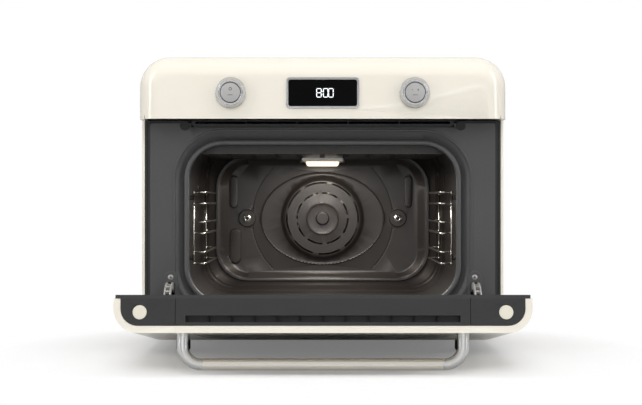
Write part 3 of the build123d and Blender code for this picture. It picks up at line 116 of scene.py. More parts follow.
class Finish:
    """A material, or the world, in the making: adds nodes, links them, and ends in an output."""

    def __init__(self, name, world=None):
        self.owner = world or bpy.data.materials.new(name)
        self.owner.use_nodes = True
        self.tree = self.owner.node_tree
        self.tree.nodes.clear()

    def node(self, kind, settings=None, inputs=None, out=0):
        """A node of one type: its settings first, then its inputs' values or links. Gives one output."""
        made = self.tree.nodes.new(kind)
        for key, value in (settings or {}).items():
            if key == "stops":
                self.set_stops(made.color_ramp, value)
            else:
                setattr(made, key, value)
        for key, value in (inputs or {}).items():
            if isinstance(value, Value):
                self.tree.links.new(value.socket, made.inputs[key])
            else:
                made.inputs[key].default_value = value
        return Value(self, made.outputs[out])

    def set_stops(self, ramp, stops):
        """Puts a ramp's stops at (position, colour)."""
        while len(ramp.elements) < len(stops):
            ramp.elements.new(1.0)
        for element, (place, colour) in zip(ramp.elements, stops):
            element.position = place
            element.color = colour if len(colour) == 4 else (*colour, 1.0)

    def place(self, scale=(1.0, 1.0, 1.0)):
        """The object's own coordinates, in metres, stretched by scale."""
        coordinates = self.node("ShaderNodeTexCoord", out="Object")
        return self.node("ShaderNodeMapping", {}, {"Vector": coordinates, "Scale": scale})

    def noise(self, scale, detail=2.0, roughness=0.5, stretch=(1.0, 1.0, 1.0)):
        """Soft noise from 0 to 1, with scale waves to the metre."""
        return self.node(
            "ShaderNodeTexNoise", {},
            {"Vector": self.place(stretch), "Scale": scale, "Detail": detail, "Roughness": roughness},
            out="Fac",
        )

    def cells(self, scale):
        """Distance to the nearest of a scatter of points, with scale cells to the metre."""
        return self.node(
            "ShaderNodeTexVoronoi", {}, {"Vector": self.place(), "Scale": scale}, out="Distance")

    def mix(self, share, first, second):
        """A colour between two colours."""
        made = self.tree.nodes.new("ShaderNodeMix")
        made.data_type = "RGBA"
        for socket, value in ((made.inputs[0], share), (made.inputs[6], first), (made.inputs[7], second)):
            if isinstance(value, Value):
                self.tree.links.new(value.socket, socket)
            elif isinstance(value, tuple):
                socket.default_value = (*value[:3], 1.0)
            else:
                socket.default_value = value
        return Value(self, made.outputs[2])

    def bump(self, height, distance, strength=1.0):
        """A normal that follows a height, where distance is the relief in metres."""
        return self.node(
            "ShaderNodeBump", {}, {"Height": height, "Distance": distance, "Strength": strength})

    def shade(self, **sockets):
        """Ends the material in a Principled shader with these sockets."""
        inputs = {key.replace("_", " "): value for key, value in sockets.items()}
        shader = self.node("ShaderNodeBsdfPrincipled", {}, inputs)
        return self.end(shader)

    def end(self, shader, output="ShaderNodeOutputMaterial"):
        """Links a shader to the output of the material or the world."""
        made = self.tree.nodes.new(output)
        self.tree.links.new(shader.socket, made.inputs["Surface"])
        return self.owner


def rgb(red, green, blue):
    """A screen colour, 0 to 255, as the linear colour that the shaders use."""
    def linear(level):
        share = level / 255
        return share / 12.92 if share <= 0.04045 else ((share + 0.055) / 1.055) ** 2.4
    return (linear(red), linear(green), linear(blue), 1.0)


def gloss_enamel(name, colour, dark, rough=0.14, coat=0.5):
    """Baked gloss enamel: a faint orange peel, slow drifts of tone and finely uneven gloss."""
    f = Finish(name)
    drift = f.noise(9.0, 3.0)
    peel = f.noise(420.0, 1.0)
    return f.shade(
        Base_Color=f.mix(drift, colour, dark),
        Roughness=rough + 0.07 * f.noise(35.0, 4.0),
        Coat_Weight=coat,
        Coat_Roughness=0.06,
        Normal=f.bump(peel, 0.00003, 0.5),
    )


def charcoal_enamel(name, colour, speck, rough=0.34):
    """Satin stove enamel with a fine grain and sparse pin-head specks."""
    f = Finish(name)
    grain = f.noise(1500.0, 3.0, 0.7)
    specks = 1.0 - f.cells(420.0).above(0.12)
    body = f.mix(f.noise(14.0, 4.0), colour, tuple(c * 0.86 for c in colour[:3]))
    return f.shade(
        Base_Color=f.mix(specks * 0.35, body, speck),
        Roughness=rough + 0.12 * f.noise(60.0, 5.0),
        Normal=f.bump(grain, 0.00004, 0.35),
    )


def metal(name, colour, rough, brushed=(1.0, 1.0, 1.0), scale=900.0, relief=0.00002, wear=0.08):
    """Bare metal: stretched noise for the brushing, in its gloss and relief, with slow tarnish."""
    f = Finish(name)
    lines = f.noise(scale, 2.0, 0.6, brushed)
    tarnish = f.noise(18.0, 4.0)
    return f.shade(
        Base_Color=f.mix(tarnish * wear * 2.0, colour, tuple(c * 0.6 for c in colour[:3])),
        Metallic=1.0,
        Roughness=rough + wear * lines,
        Normal=f.bump(lines, relief, 0.4),
    )


def plastic(name, colour, rough=0.42, grain=1200.0, relief=0.00005):
    """Moulded plastic with a spark-eroded grain and a slightly rubbed tone."""
    f = Finish(name)
    leather = f.noise(grain, 3.0, 0.6)
    return f.shade(
        Base_Color=f.mix(f.noise(25.0, 3.0), colour, tuple(c * 0.82 for c in colour[:3])),
        Roughness=rough + 0.1 * leather,
        Normal=f.bump(leather, relief, 0.4),
    )


def soft_rubber(name, colour, rough):
    """Rubber or silicone with a dusty, very fine surface."""
    f = Finish(name)
    dust = f.noise(700.0, 4.0, 0.7)
    return f.shade(
        Base_Color=f.mix(dust, colour, tuple(c * 1.35 for c in colour[:3])),
        Roughness=rough + 0.12 * dust,
        Normal=f.bump(dust, 0.00005, 0.3),
    )


def galvanised(name):
    """Zinc-coated sheet: crystal flakes of slightly different tone and gloss."""
    f = Finish(name)
    flake = f.node("ShaderNodeTexVoronoi", {}, {"Vector": f.place(), "Scale": 130.0}, out="Color")
    tone = f.node("ShaderNodeSeparateColor", {}, {"Color": flake}, out="Red")
    return f.shade(
        Base_Color=f.mix(tone, rgb(150, 152, 154), rgb(186, 188, 190)),
        Metallic=0.85,
        Roughness=0.34 + 0.16 * tone,
        Normal=f.bump(tone, 0.00002, 0.3),
    )


def pane(name, colour, alpha, rough=0.03):
    """Oven glass: tinted, with faint wipe marks in its gloss."""
    f = Finish(name)
    wipe = f.noise(6.0, 4.0, 0.6, (1.0, 1.0, 6.0))
    made = f.shade(
        Base_Color=f.mix(wipe, colour, tuple(c * 0.85 for c in colour[:3])),
        Roughness=rough + 0.05 * wipe,
        Alpha=alpha,
        Coat_Weight=1.0,
    )
    made.surface_render_method = "BLENDED"
    return made


def dark_screen(name, colour):
    """A dark display window with a non-glare face: hardly any mirror image, and a faint wiped sheen."""
    f = Finish(name)
    wipe = f.noise(12.0, 3.0)
    return f.shade(
        Base_Color=f.mix(wipe, colour, tuple(c * 0.8 for c in colour[:3])),
        Roughness=0.16 + 0.08 * wipe,
        Specular_IOR_Level=0.04,
    )


def plated(name, colour, dull):
    """Bright zinc plate on pressed steel: half metal, with cloudy spots of a duller tone."""
    f = Finish(name)
    cloud = f.noise(70.0, 4.0)
    return f.shade(
        Base_Color=f.mix(cloud, colour, dull),
        Metallic=0.5,
        Roughness=0.3 + 0.12 * cloud,
        Normal=f.bump(f.noise(900.0, 2.0), 0.00002, 0.4),
    )


def glowing_glass(name):
    """The lit lamp glass: warm, brightest over the capsule, with pressed ribs."""
    f = Finish(name)
    ribs = f.node(
        "ShaderNodeTexWave", {}, {"Vector": f.place(), "Scale": 60.0, "Distortion": 0.4}, out="Fac")
    return f.shade(
        Base_Color=f.mix(ribs, rgb(255, 246, 224), rgb(238, 222, 190)),
        Roughness=0.18,
        Emission_Color=f.mix(ribs, rgb(255, 250, 238), rgb(255, 228, 186)),
        Emission_Strength=1.3,
        Normal=f.bump(ribs, 0.0006, 0.5),
    )


def wool(name):
    """Pressed mineral wool: matted fibres in relief and tone."""
    f = Finish(name)
    fibres = f.noise(500.0, 6.0, 0.8, (1.0, 4.0, 1.0))
    return f.shade(
        Base_Color=f.mix(fibres, rgb(214, 206, 182), rgb(160, 150, 120)),
        Roughness=0.95,
        Normal=f.bump(fibres, 0.0008, 0.8),
    )


def circuit_board(name):
    """Solder-masked board: green, with darker runs of copper tracks under the mask."""
    f = Finish(name)
    tracks = f.node(
        "ShaderNodeTexBrick", {},
        {"Vector": f.place((1.0, 1.0, 0.0)), "Scale": 220.0, "Mortar Size": 0.03}, out="Fac")
    return f.shade(
        Base_Color=f.mix(tracks, rgb(22, 84, 48), rgb(58, 128, 74)),
        Roughness=0.35,
        Normal=f.bump(tracks, 0.00005, 0.4),
    )


def lit_segments(name):
    """The display's white light segments."""
    f = Finish(name)
    tone = f.noise(900.0, 1.0)
    return f.shade(
        Base_Color=rgb(235, 240, 242),
        Roughness=0.5,
        Emission_Color=f.mix(tone, rgb(244, 248, 250), rgb(226, 232, 236)),
        Emission_Strength=0.95,
    )


def printed_mark(name):
    """The dark grey print of the symbols."""
    f = Finish(name)
    return f.shade(
        Base_Color=f.mix(f.noise(800.0, 2.0), rgb(58, 58, 60), rgb(78, 78, 80)),
        Roughness=0.55,
    )


CREAM = rgb(240, 235, 222)
CREAM_LOW = rgb(236, 230, 215)

finishes = {
    "cream_enamel": gloss_enamel("cream_enamel", CREAM, CREAM_LOW),
    "frame_enamel": charcoal_enamel("frame_enamel", rgb(74, 74, 75), rgb(120, 120, 122)),
    "tray_enamel": charcoal_enamel("tray_enamel", rgb(46, 46, 47), rgb(84, 84, 86)),
    "cavity_enamel": charcoal_enamel("cavity_enamel", rgb(46, 42, 40), rgb(96, 92, 88), 0.3),
    "zinc_sheet": galvanised("zinc_sheet"),
    "black_plastic": plastic("black_plastic", rgb(30, 30, 31)),
    "dark_plastic": plastic("dark_plastic", rgb(42, 42, 43), 0.5),
    "grey_plastic": plastic("grey_plastic", rgb(120, 121, 124), 0.4),
    "cream_plastic": gloss_enamel("cream_plastic", rgb(232, 227, 212), rgb(226, 220, 203), 0.3, 0.1),
    "rubber": soft_rubber("rubber", rgb(34, 34, 35), 0.6),
    "silicone": soft_rubber("silicone", rgb(74, 74, 75), 0.36),
    "bright_steel": metal("bright_steel", rgb(226, 222, 214), 0.16, (0.02, 1.0, 1.0)),
    "steel": metal("steel", rgb(186, 184, 180), 0.28, (1.0, 0.05, 1.0)),
    "chrome": metal("chrome", rgb(206, 206, 208), 0.12, scale=300.0, relief=0.000005, wear=0.05),
    "satin_chrome": metal("satin_chrome", rgb(208, 208, 207), 0.24, scale=1200.0, wear=0.08),
    "cast_aluminium": metal("cast_aluminium", rgb(176, 176, 178), 0.42, scale=700.0, relief=0.0001),
    "display_black": dark_screen("display_black", rgb(9, 9, 10)),
    "tinted_glass": pane("tinted_glass", rgb(48, 49, 50), 0.82),
    "clear_glass": pane("clear_glass", rgb(210, 214, 212), 0.32),
    "lamp_glass": glowing_glass("lamp_glass"),
    "mineral_wool": wool("mineral_wool"),
    "board_green": circuit_board("board_green"),
    "heater_steel": metal("heater_steel", rgb(92, 88, 84), 0.45, scale=500.0, relief=0.00006),
}
lit = lit_segments("lit_segments")
printed = printed_mark("printed_mark")
button_metal = metal("button_metal", rgb(196, 195, 194), 0.3, scale=1200.0, wear=0.08)
hinge_plate = plated("hinge_plate", rgb(222, 221, 217), rgb(188, 187, 183))

slot_of = {part["node"]: part["material_slot"] for part in frame["record"]["subparts"]}
body_of = {node: body for body, nodes in frame["record"]["behaviour"]["bodies"].items() for node in nodes}


# Making pieces


def piece(name, points, faces, body, slot, finish=None, smooth=True, replaced=()):
    """A mesh from points in millimetres (across, depth from the front frame, up) and faces."""
    mesh = bpy.data.meshes.new(name)
    row = (np.asarray(points, dtype=float) + (0.0, FRONT, 0.0)) / 1000
    mesh.from_pydata(row.tolist(), [], [tuple(int(i) for i in f) for f in faces])
    mesh.polygons.foreach_set("use_smooth", np.full(len(mesh.polygons), smooth))
    made = bpy.data.objects.new(name, mesh)
    bpy.context.collection.objects.link(made)
    mesh.materials.append(finish or finishes[slot])
    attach(made, body)
    if replaced:
        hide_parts(*replaced)
    return made


def sheet_of(rows, around=False, along=False):
    """Quads over a grid of points. around joins each row's ends, and along the last row to the first."""
    rows = np.asarray(rows, dtype=float)
    m, n = rows.shape[:2]
    i, j = np.meshgrid(
        np.arange(m if along else m - 1), np.arange(n if around else n - 1), indexing="ij")
    a, b = i * n + j, i * n + (j + 1) % n
    c, d = ((i + 1) % m) * n + (j + 1) % n, ((i + 1) % m) * n + j
    faces = np.stack([a, b, c, d], axis=-1).reshape(-1, 4)
    return rows.reshape(-1, 3), [tuple(f) for f in faces]


def capped(rows):
    """A closed tube of loops with flat ends."""
    points, faces = sheet_of(rows, around=True)
    n = np.asarray(rows).shape[1]
    faces.append(tuple(range(n - 1, -1, -1)))
    faces.append(tuple(range(len(points) - n, len(points))))
    return points, faces


def joined(*solids):
    """Several sets of points and faces as one."""
    points, faces, start = [], [], 0
    for found, wanted in solids:
        points.append(np.asarray(found))
        faces += [tuple(i + start for i in f) for f in wanted]
        start += len(found)
    return np.concatenate(points), faces


def turned(profile, centre, axis="y", steps=56):
    """A profile of (radius, place along the axis) turned round an axis, y or x, through centre."""
    profile = np.asarray(profile, dtype=float)
    angle = np.linspace(0, 2 * math.pi, steps, endpoint=False)
    radius, along = profile[:, :1], profile[:, 1:]
    first, second = radius * np.cos(angle), radius * np.sin(angle)
    along = np.broadcast_to(along, first.shape)
    order = {"y": (first, along, second), "x": (along, first, second)}[axis]
    return np.stack(order, axis=-1) + np.asarray(centre)


def bent(points, radius, steps=5):
    """Straight lines whose corners are rounded by curves that leave both lines at one distance."""
    points = np.asarray(points, dtype=float)
    t = np.linspace(0, 1, steps)[:, None]
    found = [points[:1]]
    for before, corner, after in zip(points[:-2], points[1:-1], points[2:]):
        start = corner + (before - corner) / np.linalg.norm(before - corner) * radius
        end = corner + (after - corner) / np.linalg.norm(after - corner) * radius
        found.append((1 - t) ** 2 * start + 2 * t * (1 - t) * corner + t**2 * end)
    found.append(points[-1:])
    return np.concatenate(found)


def tube(path, radius, across, sides=12):
    """A round tube on a flat path: each ring is square to the path, and across is the path's normal."""
    path = np.asarray(path, dtype=float)
    ahead = np.gradient(path, axis=0)
    ahead /= np.linalg.norm(ahead, axis=1, keepdims=True)
    across = np.asarray(across, dtype=float)
    beside = np.cross(ahead, across)
    angle = np.linspace(0, 2 * math.pi, sides, endpoint=False)
    ring = np.cos(angle)[None, :, None] * beside[:, None] + np.sin(angle)[None, :, None] * across
    return capped(path[:, None] + radius * ring)


def smoothed(node, angle=32.0, finish=None):
    """A copy of a CAD node with its loose triangles merged and its rounded faces shaded smooth."""
    source = frame["nodes"][node]
    mesh = source.data.copy()
    made = bpy.data.objects.new(node + "_finished", mesh)
    bpy.context.collection.objects.link(made)
    weld(made)
    mesh.polygons.foreach_set("use_smooth", np.full(len(mesh.polygons), True))
    mesh.set_sharp_from_angle(angle=math.radians(angle))
    weighted = made.modifiers.new("weighted", "WEIGHTED_NORMAL")
    weighted.keep_sharp = True
    weighted.weight = 100
    mesh.materials.clear()
    slot = slot_of[node]
    mesh.materials.append(finish or finishes[slot])
    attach(made, body_of[node])
    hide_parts(node)
    return made


def weld(made):
    """Merges points that lie on each other."""
    work = bmesh.new()
    work.from_mesh(made.data)
    bmesh.ops.remove_doubles(work, verts=work.verts, dist=2e-6)
    work.to_mesh(made.data)
    work.free()


# Every CAD node gets its finish; the rounded ones get a smooth copy

for node, made in frame["nodes"].items():
    made.data.materials.clear()
    made.data.materials.append(finishes[slot_of[node]])

rounded = (
    "hood", "side_panel_left", "side_panel_right", "front_frame", "cavity_muffle", "fan_cover",
    "air_outlet", "door_bumpers", "lamp_housing", "lamp_lens", "display_bezel", "display_glass",
    "door_shell", "door_inner_tray", "door_end_caps", "door_plugs", "handle_bar", "handle_elbows",
    "door_hinges", "feet", "water_tank", "cavity_gasket", "grill_heater", "ring_heater",
    "water_and_steam_lines", "blower_wheel", "fan_impeller", "hinge_brackets", "lamp_bulb",
)
for node in rounded:
    smoothed(node, finish=hinge_plate if node == "door_hinges" else None)


# Racks: drawn wire with small bends, welded where wires meet

RACK_WIRE = 1.5
RACK_OUTER = 181.3
RACK_INNER = 165.3
RACK_FRONT = 50
RACK_BACK = 274
RACK_LEVELS = (129.3, 171.6, 213.6)
RACK_HALF_GAP = 8
RACK_UPRIGHT = (119.8, 170, 223.1)


def rack(word, side):
    """A rack's six runners, each bent in, back and out again, and its two uprights, all of one wire."""
    outer, inner = side * RACK_OUTER, side * RACK_INNER
    step_in = inner + side * 2.2
    solids = []
    for level in RACK_LEVELS:
        for z in (level - RACK_HALF_GAP, level + RACK_HALF_GAP):
            path = bent([
                (outer, RACK_FRONT, z), (step_in, RACK_FRONT, z), (inner, RACK_FRONT + 4, z),
                (inner, RACK_BACK - 4, z), (step_in, RACK_BACK, z), (outer, RACK_BACK, z),
            ], 1.6)
            solids.append(tube(path, RACK_WIRE, (0, 0, 1)))
            for y in (RACK_FRONT, RACK_BACK):
                weld_form = [(0, -2.3), (1.6, -1.6), (1.9, 0), (1.6, 1.6), (0, 2.3)]
                solids.append(sheet_of(turned(weld_form, (outer, y, z), "x", 12), around=True))
    for y in (RACK_FRONT, RACK_BACK):
        solids.append(tube([(outer, y, z) for z in RACK_UPRIGHT], RACK_WIRE, (0, 1, 0)))
    piece(f"rack_{word}_wires", *joined(*solids), BODY, "bright_steel",
          replaced=(f"rack_{word}",))


for word, side in SIDES:
    rack(word, side)


# Knobs and buttons


def knob(word, side):
    """A turning ring: a fine groove in its front face, a rounded rim, a bevelled flank and a skirt."""
    face, base = KNOB_FACE, FASCIA - 0.3
    rim = [(13.9, face + 6), (13.9, face + 0.7), (14.2, face + 0.25), (14.6, face)]
    rim += [(15.4, face), (15.6, face + 0.25), (15.8, face)]
    turn = np.linspace(0, math.pi / 2, 6)
    rim += [(16.6 + 1.0 * math.sin(t), face + 1.0 - 1.0 * math.cos(t)) for t in turn]
    rim += [(18.9, face + 3.4), (20.0, face + 5.2)]
    rim += [(20.7 - 0.5 * math.cos(t), face + 6.0 + 0.5 * math.sin(t)) for t in turn]
    rim += [(20.7, base), (8.05, base), (8.05, base - 3.0), (13.9, base - 3.0)]
    rows = turned(rim, (side * KNOB_X, 0, CONTROL_Z), steps=72)
    piece(f"knob_{word}_ring", *sheet_of(rows, around=True, along=True), f"knob_{word}", "chrome",
          replaced=(f"knob_{word}",))


def button(word, side):
    """A push button: a faintly dished face inside a rounded rim, and its stem."""
    face = KNOB_FACE - 0.4
    turn = np.linspace(0, math.pi / 2, 6)
    form = [(0.01, face + 0.35), (6, face + 0.3), (10.4, face + 0.12), (11.8, face)]
    form += [(12.3 + 0.9 * math.sin(t), face + 0.9 - 0.9 * math.cos(t)) for t in turn]
    form += [(13.2, face + 5.5), (3.0, face + 5.5), (3.0, -34.8), (0.01, -34.8)]
    rows = turned(form, (side * KNOB_X, 0, CONTROL_Z), steps=72)
    piece(f"button_{word}_cap", *sheet_of(rows, around=True), f"button_{word}", "satin_chrome",
          button_metal, replaced=(f"button_{word}",))


def ring_mark(centre, radius, width, depth):
    """A flat printed ring."""
    rows = turned([(radius - width / 2, depth), (radius + width / 2, depth)], centre, steps=40)
    return sheet_of(rows, around=True)


def bar_mark(x, z, width, height, depth):
    """A flat printed bar."""
    points = np.array([(x - width / 2, depth, z - height / 2), (x + width / 2, depth, z - height / 2),
                       (x + width / 2, depth, z + height / 2), (x - width / 2, depth, z + height / 2)])
    return points, [(0, 1, 2, 3)]


def solid_marks(name, marks, body, slot, finish, thickness):
    """Flat marks, made thickness metres thick."""
    made = piece(name, *joined(*marks), body, slot, finish, False)
    solid = made.modifiers.new("print", "SOLIDIFY")
    solid.thickness = thickness
    solid.offset = 0.0


for word, side in SIDES:
    knob(word, side)
    button(word, side)

MARK_Y = KNOB_FACE - 0.2
MARK_THICKNESS = 0.00012
PLUS_X = KNOB_X + 3.9
PLUS_Z = CONTROL_Z + 3.3


def word_bar(side):
    """The plain bar that stands in the place of a word, under a symbol."""
    return bar_mark(side * KNOB_X, CONTROL_Z - 3.4, 6.4, 0.7, MARK_Y)


solid_marks(
    "power_mark",
    [ring_mark((-KNOB_X, 0, CONTROL_Z + 4.6), 1.75, 0.75, MARK_Y), word_bar(-1)],
    "button_left", "satin_chrome", printed, MARK_THICKNESS)
solid_marks(
    "minus_plus_mark",
    [bar_mark(KNOB_X - 3.9, PLUS_Z, 2.0, 0.7, MARK_Y),
     bar_mark(PLUS_X, PLUS_Z, 2.2, 0.7, MARK_Y),
     bar_mark(PLUS_X, PLUS_Z + 1.1, 0.7, 1.5, MARK_Y),
     bar_mark(PLUS_X, PLUS_Z - 1.1, 0.7, 1.5, MARK_Y),
     word_bar(1)],
    "button_right", "satin_chrome", printed, MARK_THICKNESS)


# The display's figures


def segment(x0, z0, x1, z1, width, depth):
    """One light segment: a bar with pointed ends between two places."""
    start, end = np.array((x0, z0)), np.array((x1, z1))
    ahead = (end - start) / np.linalg.norm(end - start)
    side = np.array((-ahead[1], ahead[0])) * width / 2
    gap = ahead * width * 0.25
    tip = ahead * width / 2
    flat = np.array([
        start + gap, start + gap + tip + side, end - gap - tip + side,
        end - gap, end - gap - tip - side, start + gap + tip - side,
    ])
    points = np.stack([flat[:, 0], np.full(6, depth), flat[:, 1]], axis=1)
    return points, [(0, 5, 4, 3, 2, 1)]


def figure(left, segments, depth, width=6.0, height=11.4, stroke=1.0):
    """A seven-segment figure."""
    low = CONTROL_Z - height / 2
    middle, high, right = CONTROL_Z, low + height, left + width
    places = {
        "a": (left, high, right, high), "b": (right, middle, right, high), "c": (right, low, right, middle),
        "d": (left, low, right, low), "e": (left, low, left, middle), "f": (left, middle, left, high),
        "g": (left, middle, right, middle),
    }
    return [segment(*places[s], stroke, depth) for s in segments]


FIGURE_Y = FASCIA - 0.9 - 0.08
FIGURE_THICKNESS = 0.0001
digits = []
for left, segments in ((-8.1, "abcdefg"), (0.9, "abcdef"), (8.0, "abcdef")):
    digits += figure(left, segments, FIGURE_Y)
for z in (CONTROL_Z + 2.0, CONTROL_Z - 2.0):
    digits.append(bar_mark(-0.6, z, 1.0, 1.0, FIGURE_Y))
solid_marks("display_figures", digits, BODY, "display_black", lit, FIGURE_THICKNESS)


# Fan cover nuts: a flange, a six-sided body and a sunk socket

NUT_X = 119.1
NUT_Z = 182.0
NUT_BACK = 314.6
NUT_STEPS = 72


def cover_nut(side):
    """A nut: turned flange, then rings whose radius follows a hexagon, then a sunk socket."""
    x, back = side * NUT_X, NUT_BACK
    angle = np.linspace(0, 2 * math.pi, NUT_STEPS, endpoint=False)
    hexagon = np.minimum(4.35 / np.cos((angle % (math.pi / 3)) - math.pi / 6), 4.8)
    round_ring = np.ones(NUT_STEPS)
    rows = [(round_ring * 6.3, back), (round_ring * 6.3, back - 0.9),
            (round_ring * 5.7, back - 1.5), (round_ring * 5.0, back - 1.6),
            (hexagon, back - 1.7), (hexagon, back - 4.4), (hexagon * 0.93, back - 5.0),
            (round_ring * 2.9, back - 5.0), (round_ring * 2.6, back - 4.6),
            (round_ring * 2.5, back - 2.4), (round_ring * 0.01, back - 2.4)]
    grid = np.array([
        np.stack([x + r * np.cos(angle), np.full(NUT_STEPS, y), NUT_Z + r * np.sin(angle)], axis=1)
        for r, y in rows])
    return sheet_of(grid, around=True)


piece("fan_cover_nut_pair", *joined(cover_nut(-1), cover_nut(1)), BODY, "bright_steel",
      replaced=("fan_cover_nuts",))


# Hinge screws: domed heads, with the crossed recess drawn as painted shade

SCREW_X = 208.4
SCREW_Z = 104.5


def screw_head(side):
    """A low domed head, clear of the closed door, and its shank."""
    profile = [(0.01, -1.75), (1.4, -1.73), (2.8, -1.62), (3.6, -1.4), (3.8, -1.2),
               (1.6, -1.2), (1.6, 7), (0.01, 7)]
    return sheet_of(turned(profile, (side * SCREW_X, 0, SCREW_Z), steps=32), around=True)


def recess_shade_cross(side):
    """Two crossed dark bars on a screw head: painted shade in place of a recess."""
    x = side * SCREW_X
    return joined(bar_mark(x, SCREW_Z, 3.6, 0.8, -1.78), bar_mark(x, SCREW_Z, 0.8, 3.6, -1.79))


piece("hinge_screw_heads", *joined(screw_head(-1), screw_head(1)), BODY, "steel",
      replaced=("hinge_screws",))
# The recesses are painted shade: flat black bars on the heads.
piece("hinge_screw_recess_shade", *joined(recess_shade_cross(-1), recess_shade_cross(1)), BODY, "steel",
      finishes["black_plastic"], False)


# Painted shade: a black liner under the air slot in the door's top edge, so that the slot is dark


OPEN_COS = math.cos(math.radians(DOOR_OPEN))
OPEN_SIN = math.sin(math.radians(DOOR_OPEN))


def opened(points):
    """Points of the closed door, swung open about its pivot."""
    y, z = points[:, 1] - PIVOT_Y, points[:, 2] - PIVOT_Z
    return np.stack([
        points[:, 0],
        PIVOT_Y + y * OPEN_COS - z * OPEN_SIN,
        PIVOT_Z + y * OPEN_SIN + z * OPEN_COS,
    ], axis=1)


def block(x0, x1, y0, y1, z0, z1):
    """A block between two corners, as points and faces."""
    points = [(x, y, z) for x in (x0, x1) for y in (y0, y1) for z in (z0, z1)]
    faces = [(0, 1, 3, 2), (4, 6, 7, 5), (0, 4, 5, 1), (2, 3, 7, 6), (0, 2, 6, 4), (1, 5, 7, 3)]
    return np.array(points, dtype=float), faces


# The liner is painted shade: a black block inside the door that darkens the slot.
shade_liner, shade_liner_faces = block(-164, 164, -37, -24, DOOR_TOP - 14, DOOR_TOP - 12.1)
piece("door_slot_shade_liner", opened(shade_liner), shade_liner_faces, DOOR, "dark_plastic",
      finishes["black_plastic"], False)


def shut(place):
    """Depth and height, in millimetres with the door closed, of a place in metres on the open door."""
    y, z = place[1] * 1000 - FRONT - PIVOT_Y, place[2] * 1000 - PIVOT_Z
    return PIVOT_Y + y * OPEN_COS + z * OPEN_SIN, PIVOT_Z - y * OPEN_SIN + z * OPEN_COS


def paint_slot_shade(trim):
    """Paints shade into the slot: gives the slot's walls and ribs the black plastic, by where each face
    lies in the closed door.
    """
    trim.data.materials.append(finishes["black_plastic"])
    for face in trim.data.polygons:
        depth, height = shut(face.center)
        if abs(depth - SLOT_Y) < SLOT_HALF + 0.1 and height < DOOR_TOP - 0.5:
            face.material_index = 1


# The slot's walls and ribs get black plastic as painted shade.
paint_slot_shade(smoothed("door_top_trim"))


# Camera

CAMERA_REACH = 2049
CAMERA_HEIGHT = 0.207

camera_data = bpy.data.cameras.new("camera")
camera = bpy.data.objects.new("camera", camera_data)
bpy.context.collection.objects.link(camera)
camera_data.sensor_width = 36.0
camera_data.lens = 83.72
camera.location = (-0.00233, (FRONT - CAMERA_REACH) / 1000, CAMERA_HEIGHT)
camera.rotation_euler = (math.pi / 2, 0, 0)
bpy.context.scene.camera = camera


# Floor, light and background

FLOOR_REACH = 60000.0
FADE_START = 0.30
FADE_WIDTH = 0.16


def floor_finish():
    """A pale floor that keeps the oven's soft shadow and fades to pure white for the camera further out."""
    f = Finish("studio_floor")
    seen = f.node("ShaderNodeLightPath", out="Is Camera Ray")
    tone = f.noise(3.0, 2.0)
    pale = f.mix(tone, rgb(236, 236, 236), rgb(233, 233, 233))
    plain = f.node("ShaderNodeBsdfDiffuse", {}, {"Color": pale})
    glow = f.node("ShaderNodeEmission", {}, {"Color": (1, 1, 1, 1), "Strength": seen * 0.17})
    near = f.node("ShaderNodeAddShader", {}, {0: plain, 1: glow})
    far = f.node("ShaderNodeEmission", {}, {"Color": (1, 1, 1, 1), "Strength": 1.0})
    reach = f.node("ShaderNodeVectorMath", {"operation": "LENGTH"}, {0: f.place()}, out="Value")
    fade = ((reach - FADE_START) / FADE_WIDTH).clamped()
    return f.end(f.node("ShaderNodeMixShader", {}, {0: fade * seen, 1: near, 2: far}))


def stage_floor():
    """One large flat square under the feet."""
    points = [(x * FLOOR_REACH, y * FLOOR_REACH, 0) for x, y in ((-1, -1), (1, -1), (1, 1), (-1, 1))]
    mesh = bpy.data.meshes.new("floor")
    mesh.from_pydata((np.array(points) / 1000).tolist(), [], [(0, 1, 2, 3)])
    mesh.materials.append(floor_finish())
    made = bpy.data.objects.new("floor", mesh)
    bpy.context.collection.objects.link(made)


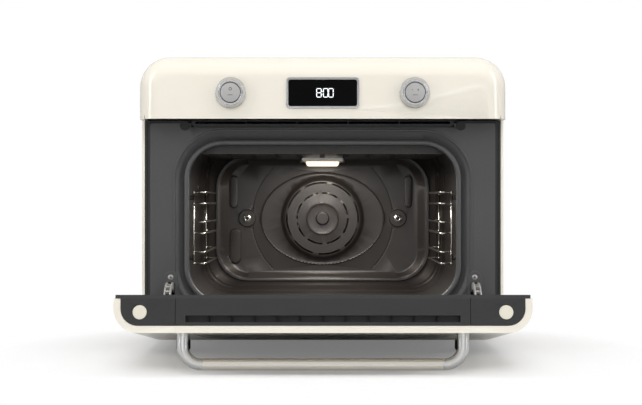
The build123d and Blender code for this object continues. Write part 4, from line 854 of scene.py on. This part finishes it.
def lamp(name, place, aim, size, power, colour=(1, 1, 1), mirrored=True):
    """A soft lamp, size wide and high, that faces a point. mirrored: glossy surfaces show it."""
    data = bpy.data.lights.new(name, "AREA")
    data.shape = "RECTANGLE"
    data.size, data.size_y = size[0] / 1000, size[1] / 1000
    data.energy = power
    data.color = colour
    made = bpy.data.objects.new(name, data)
    bpy.context.collection.objects.link(made)
    start = Vector((place[0], place[1] + FRONT, place[2])) / 1000
    end = Vector((aim[0], aim[1] + FRONT, aim[2])) / 1000
    made.location = start
    made.rotation_euler = (end - start).to_track_quat("-Z", "Y").to_euler()
    made.visible_glossy = mirrored


# The room that reflections see: its grey levels from straight down, 0, to straight up, 1
ROOM_LEVELS = ((0.0, 0.24), (0.46, 0.34), (0.52, 0.50), (0.62, 0.66), (0.80, 0.86), (1.0, 0.60))
SOFT_LIGHT = (0.43, 0.43, 0.435)


def studio_world():
    """White to the camera. Reflections see a bright room with a greyer floor; the rest is soft light."""
    world = bpy.data.worlds.new("studio")
    bpy.context.scene.world = world
    f = Finish("studio", world)
    camera_ray = f.node("ShaderNodeLightPath", out="Is Camera Ray")
    glossy_ray = f.node("ShaderNodeLightPath", out="Is Glossy Ray")
    direction = f.node("ShaderNodeTexCoord", out="Generated")
    up = f.node("ShaderNodeSeparateXYZ", {}, {"Vector": direction}, out="Z")
    room = f.node(
        "ShaderNodeValToRGB", {"stops": [(place, (level,) * 3) for place, level in ROOM_LEVELS]},
        {"Fac": up * 0.5 + 0.5}, out="Color")
    soft = f.mix(glossy_ray, SOFT_LIGHT, room)
    seen = f.mix(camera_ray, soft, (1.0, 1.0, 1.0))
    f.end(f.node("ShaderNodeBackground", {}, {"Color": seen, "Strength": 1.0}), "ShaderNodeOutputWorld")


stage_floor()
studio_world()
lamp("top_softbox", (0, -350, 1500), (0, 0, 300), (1500, 700), 8.1, mirrored=False)
lamp("front_fill", (0, -2500, 1500), (0, 0, 200), (1400, 1400), 16.5, mirrored=False)
lamp("handle_card", (0, -2400, 300), (0, -300, 60), (1600, 150), 2.0)
for word, side in SIDES:
    lamp(f"{word}_strip", (side * 1300, -700, 700), (side * 150, 0, 250), (300, 1200), 4.6)
lamp("cavity_lamp", (0, 245, 260), (0, 262, 100), (46, 46), 0.13, (1.0, 0.9, 0.78))
lamp("cavity_glow", (0, 120, 262), (0, 120, 70), (150, 90), 0.85, (1.0, 0.95, 0.9))

bpy.context.scene.view_settings.view_transform = "Standard"
